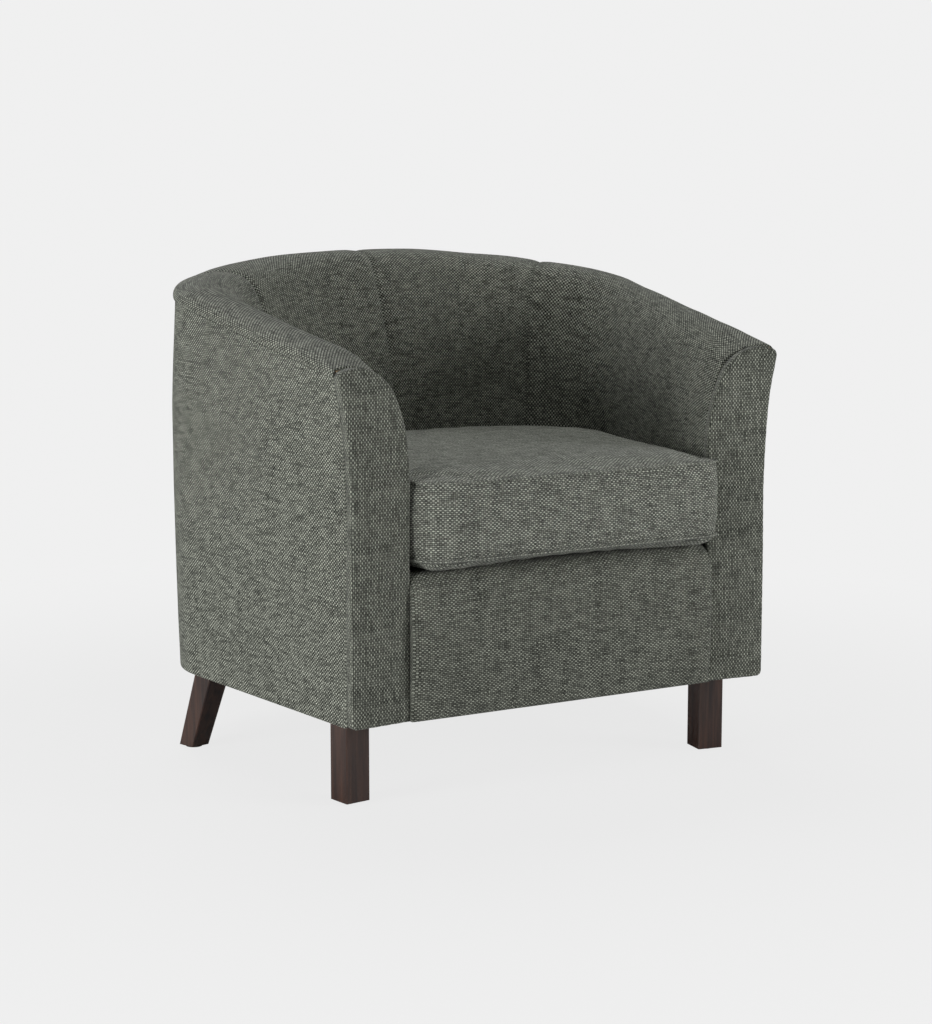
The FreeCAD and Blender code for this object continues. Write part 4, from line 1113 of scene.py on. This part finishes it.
def stapleTree():
    tree = bpy.data.node_groups.new("stapleRow", "GeometryNodeTree")
    tree.interface.new_socket("Geometry", in_out="OUTPUT", socket_type="NodeSocketGeometry")
    for label, kind in (("Path", "Geometry"), ("Pitch", "Float"), ("Length", "Float"), ("Wire", "Float"),
                        ("Turn", "Float"), ("Seed", "Int"), ("Finish", "Material")):
        tree.interface.new_socket(label, in_out="INPUT", socket_type="NodeSocket" + kind)
    given, result = addNode(tree, "NodeGroupInput").outputs, addNode(tree, "NodeGroupOutput")
    curve = addNode(tree, "GeometryNodeMeshToCurve", {0: given["Path"]})
    marks = addNode(tree, "GeometryNodeCurveToPoints", {"Curve": curve.outputs[0], "Length": given["Pitch"]},
                    mode="LENGTH").outputs
    bar = addNode(tree, "GeometryNodeMeshCylinder", {
        "Vertices": 6, "Radius": mathNode(tree, "MULTIPLY", given["Wire"], 0.5), "Depth": given["Length"]})
    lying = addNode(tree, "GeometryNodeTransform", {"Geometry": bar.outputs["Mesh"],
                                                    "Rotation": (0.0, math.pi / 2, 0.0)})
    chance = addNode(tree, "FunctionNodeRandomValue", {
        2: mathNode(tree, "MULTIPLY", given["Turn"], -1.0), 3: given["Turn"], "Seed": given["Seed"]},
        data_type="FLOAT")
    heading = addNode(tree, "FunctionNodeAlignEulerToVector", {"Vector": marks["Tangent"]}, axis="X")
    placed = addNode(tree, "GeometryNodeInstanceOnPoints", {
        "Points": marks["Points"], "Instance": lying.outputs[0], "Rotation": heading.outputs[0]})
    yaw = addNode(tree, "ShaderNodeCombineXYZ", {2: chance.outputs[1]})
    spun = addNode(tree, "GeometryNodeRotateInstances", {"Instances": placed.outputs[0], "Rotation": yaw.outputs[0]})
    real = addNode(tree, "GeometryNodeRealizeInstances", {0: spun.outputs[0]})
    paint = addNode(tree, "GeometryNodeSetMaterial", {"Geometry": real.outputs[0], "Material": given["Finish"]})
    feed(tree, result.inputs[0], paint.outputs[0])
    return tree


# Runs a node tree on a path and returns the result as a plain mesh piece.
def repeatAlong(name, tree, path, values, body):
    base = bpy.data.meshes.new(name + "Path")
    base.from_pydata([tuple(p) for p in toMetres(path)], [(k, k + 1) for k in range(len(path) - 1)], [])
    holder = bpy.data.objects.new(name, base)
    bpy.context.scene.collection.objects.link(holder)
    maker = holder.modifiers.new("maker", "NODES")
    maker.node_group = tree
    for item in tree.interface.items_tree:
        if item.in_out == "INPUT" and item.name in values:
            maker[item.identifier] = values[item.name]
    holder.update_tag()
    made = bpy.data.meshes.new_from_object(holder.evaluated_get(bpy.context.evaluated_depsgraph_get()))
    holder.modifiers.clear()
    holder.data = made
    made.name = name
    if not made.materials:
        made.materials.append(values["Finish"])
    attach(holder, body)


staples = stapleTree()
staplePlan = tubPlan(outerLevels[0][1], outerLevels[0][2], rim["cornerY"], rim["cornerR"], outerLevels[0][3],
                     dustSettings["inset"] + stapleSettings["inset"])
stapleZ = dustSettings["z"] - 1.55
halfLine = [walk(staplePlan, 40.0, run)[0] for run in np.linspace(0, sum(runs(staplePlan, 40.0)), 90)]
backLine = [(x, y, stapleZ) for x, y in halfLine] + [(-x, y, stapleZ) for x, y in reversed(halfLine[:-1])]
frontLine = [(x, 38.0, stapleZ) for x in np.linspace(-300, 300, 40)]
stapleValues = {"Pitch": stapleSettings["pitch"], "Length": stapleSettings["length"], "Wire": stapleSettings["wire"],
                "Turn": stapleSettings["turn"], "Finish": zincSteel}
for name, line, seed in (("coverStaples", backLine, stapleSettings["seed"]), ("frontStaples", frontLine, 9)):
    repeatAlong(name, staples, line, {**stapleValues, "Seed": seed}, "chair")
print("staples made")


stageSettings = {"size": 30.0, "tone": (0.87, 0.87, 0.87), "diffuse": (0.8, 0.8, 0.8), "ambient": 0.02,
                 "fade": (0.5, 1.6), "glow": (0.9, 1.0)}
lightSettings = [("keyLeft", (-3.6, -0.6, 0.75), (0.0, 0.0, 0.4), 1.6, 84.0),
                 ("fillRight", (2.9, -3.0, 1.2), (0.0, 0.0, 0.4), 1.8, 70.0),
                 ("topFront", (0.0, -2.2, 3.0), (0.0, 0.0, 0.4), 2.0, 18.0),
                 ("topBack", (0.2, 1.6, 3.2), (0.0, 0.0, 0.4), 2.0, 44.0)]


def paleStage():
    s = stageSettings
    material, tree, shader = newMaterial("paleSweep", {"Base Color": s["diffuse"], "Roughness": 0.9})
    glow = addNode(tree, "ShaderNodeEmission", {"Color": s["tone"]})
    place = addNode(tree, "ShaderNodeTexCoord")
    far = addNode(tree, "ShaderNodeVectorMath", {0: place.outputs["Object"]}, operation="LENGTH")
    fade = mapRange(tree, far.outputs["Value"], s["fade"], s["glow"], interpolation_type="SMOOTHSTEP")
    rays = addNode(tree, "ShaderNodeLightPath")
    share = mathNode(tree, "MULTIPLY", fade, rays.outputs["Is Camera Ray"])
    blend = addNode(tree, "ShaderNodeMixShader", {0: share, 1: shader.outputs[0], 2: glow.outputs[0]})
    feed(tree, tree.nodes["Material Output"].inputs["Surface"], blend.outputs[0])
    half = s["size"] * 1000
    floor = newPiece("paleFloor", [(-half, -half, 0), (half, -half, 0), (half, half, 0), (-half, half, 0)],
                     [(0, 1, 2, 3)], None, material, smooth=False)
    world = bpy.data.worlds.new("paleRoom")
    world.use_nodes = True
    bpy.context.scene.world = world
    tree = world.node_tree
    seen = tree.nodes["Background"]
    feed(tree, seen.inputs["Color"], s["tone"])
    soft = addNode(tree, "ShaderNodeBackground", {"Color": (1.0, 1.0, 1.0), "Strength": s["ambient"]})
    rays = addNode(tree, "ShaderNodeLightPath")
    blend = addNode(tree, "ShaderNodeMixShader", {0: rays.outputs["Is Camera Ray"], 1: soft.outputs[0],
                                                  2: seen.outputs[0]})
    feed(tree, tree.nodes["World Output"].inputs["Surface"], blend.outputs[0])


def softLights():
    for name, spot, aim, size, power in lightSettings:
        data = bpy.data.lights.new(name, "AREA")
        data.shape = "DISK"
        data.size = size
        data.energy = power
        lamp = bpy.data.objects.new(name, data)
        lamp.location = spot
        way = np.array(aim) - np.array(spot)
        lamp.rotation_euler = (math.atan2(math.hypot(way[0], way[1]), -way[2]), 0.0, math.atan2(-way[0], way[1]))
        bpy.context.scene.collection.objects.link(lamp)


cameraSettings = {"lens": 85.45, "place": (-1.80405, -3.17495, 0.9225), "tilt": -8.91, "turn": -30.0}


def photoCamera():
    s = cameraSettings
    data = bpy.data.cameras.new("photoCamera")
    data.sensor_fit = "VERTICAL"
    data.sensor_height = 36.0
    data.lens = s["lens"]
    camera = bpy.data.objects.new("photoCamera", data)
    camera.location = s["place"]
    camera.rotation_euler = (math.radians(90 + s["tilt"]), 0.0, math.radians(s["turn"]))
    bpy.context.scene.collection.objects.link(camera)
    bpy.context.scene.camera = camera


paleStage()
softLights()
photoCamera()
bpy.context.scene.view_settings.view_transform = "Standard"
print("stage, lights and camera placed")
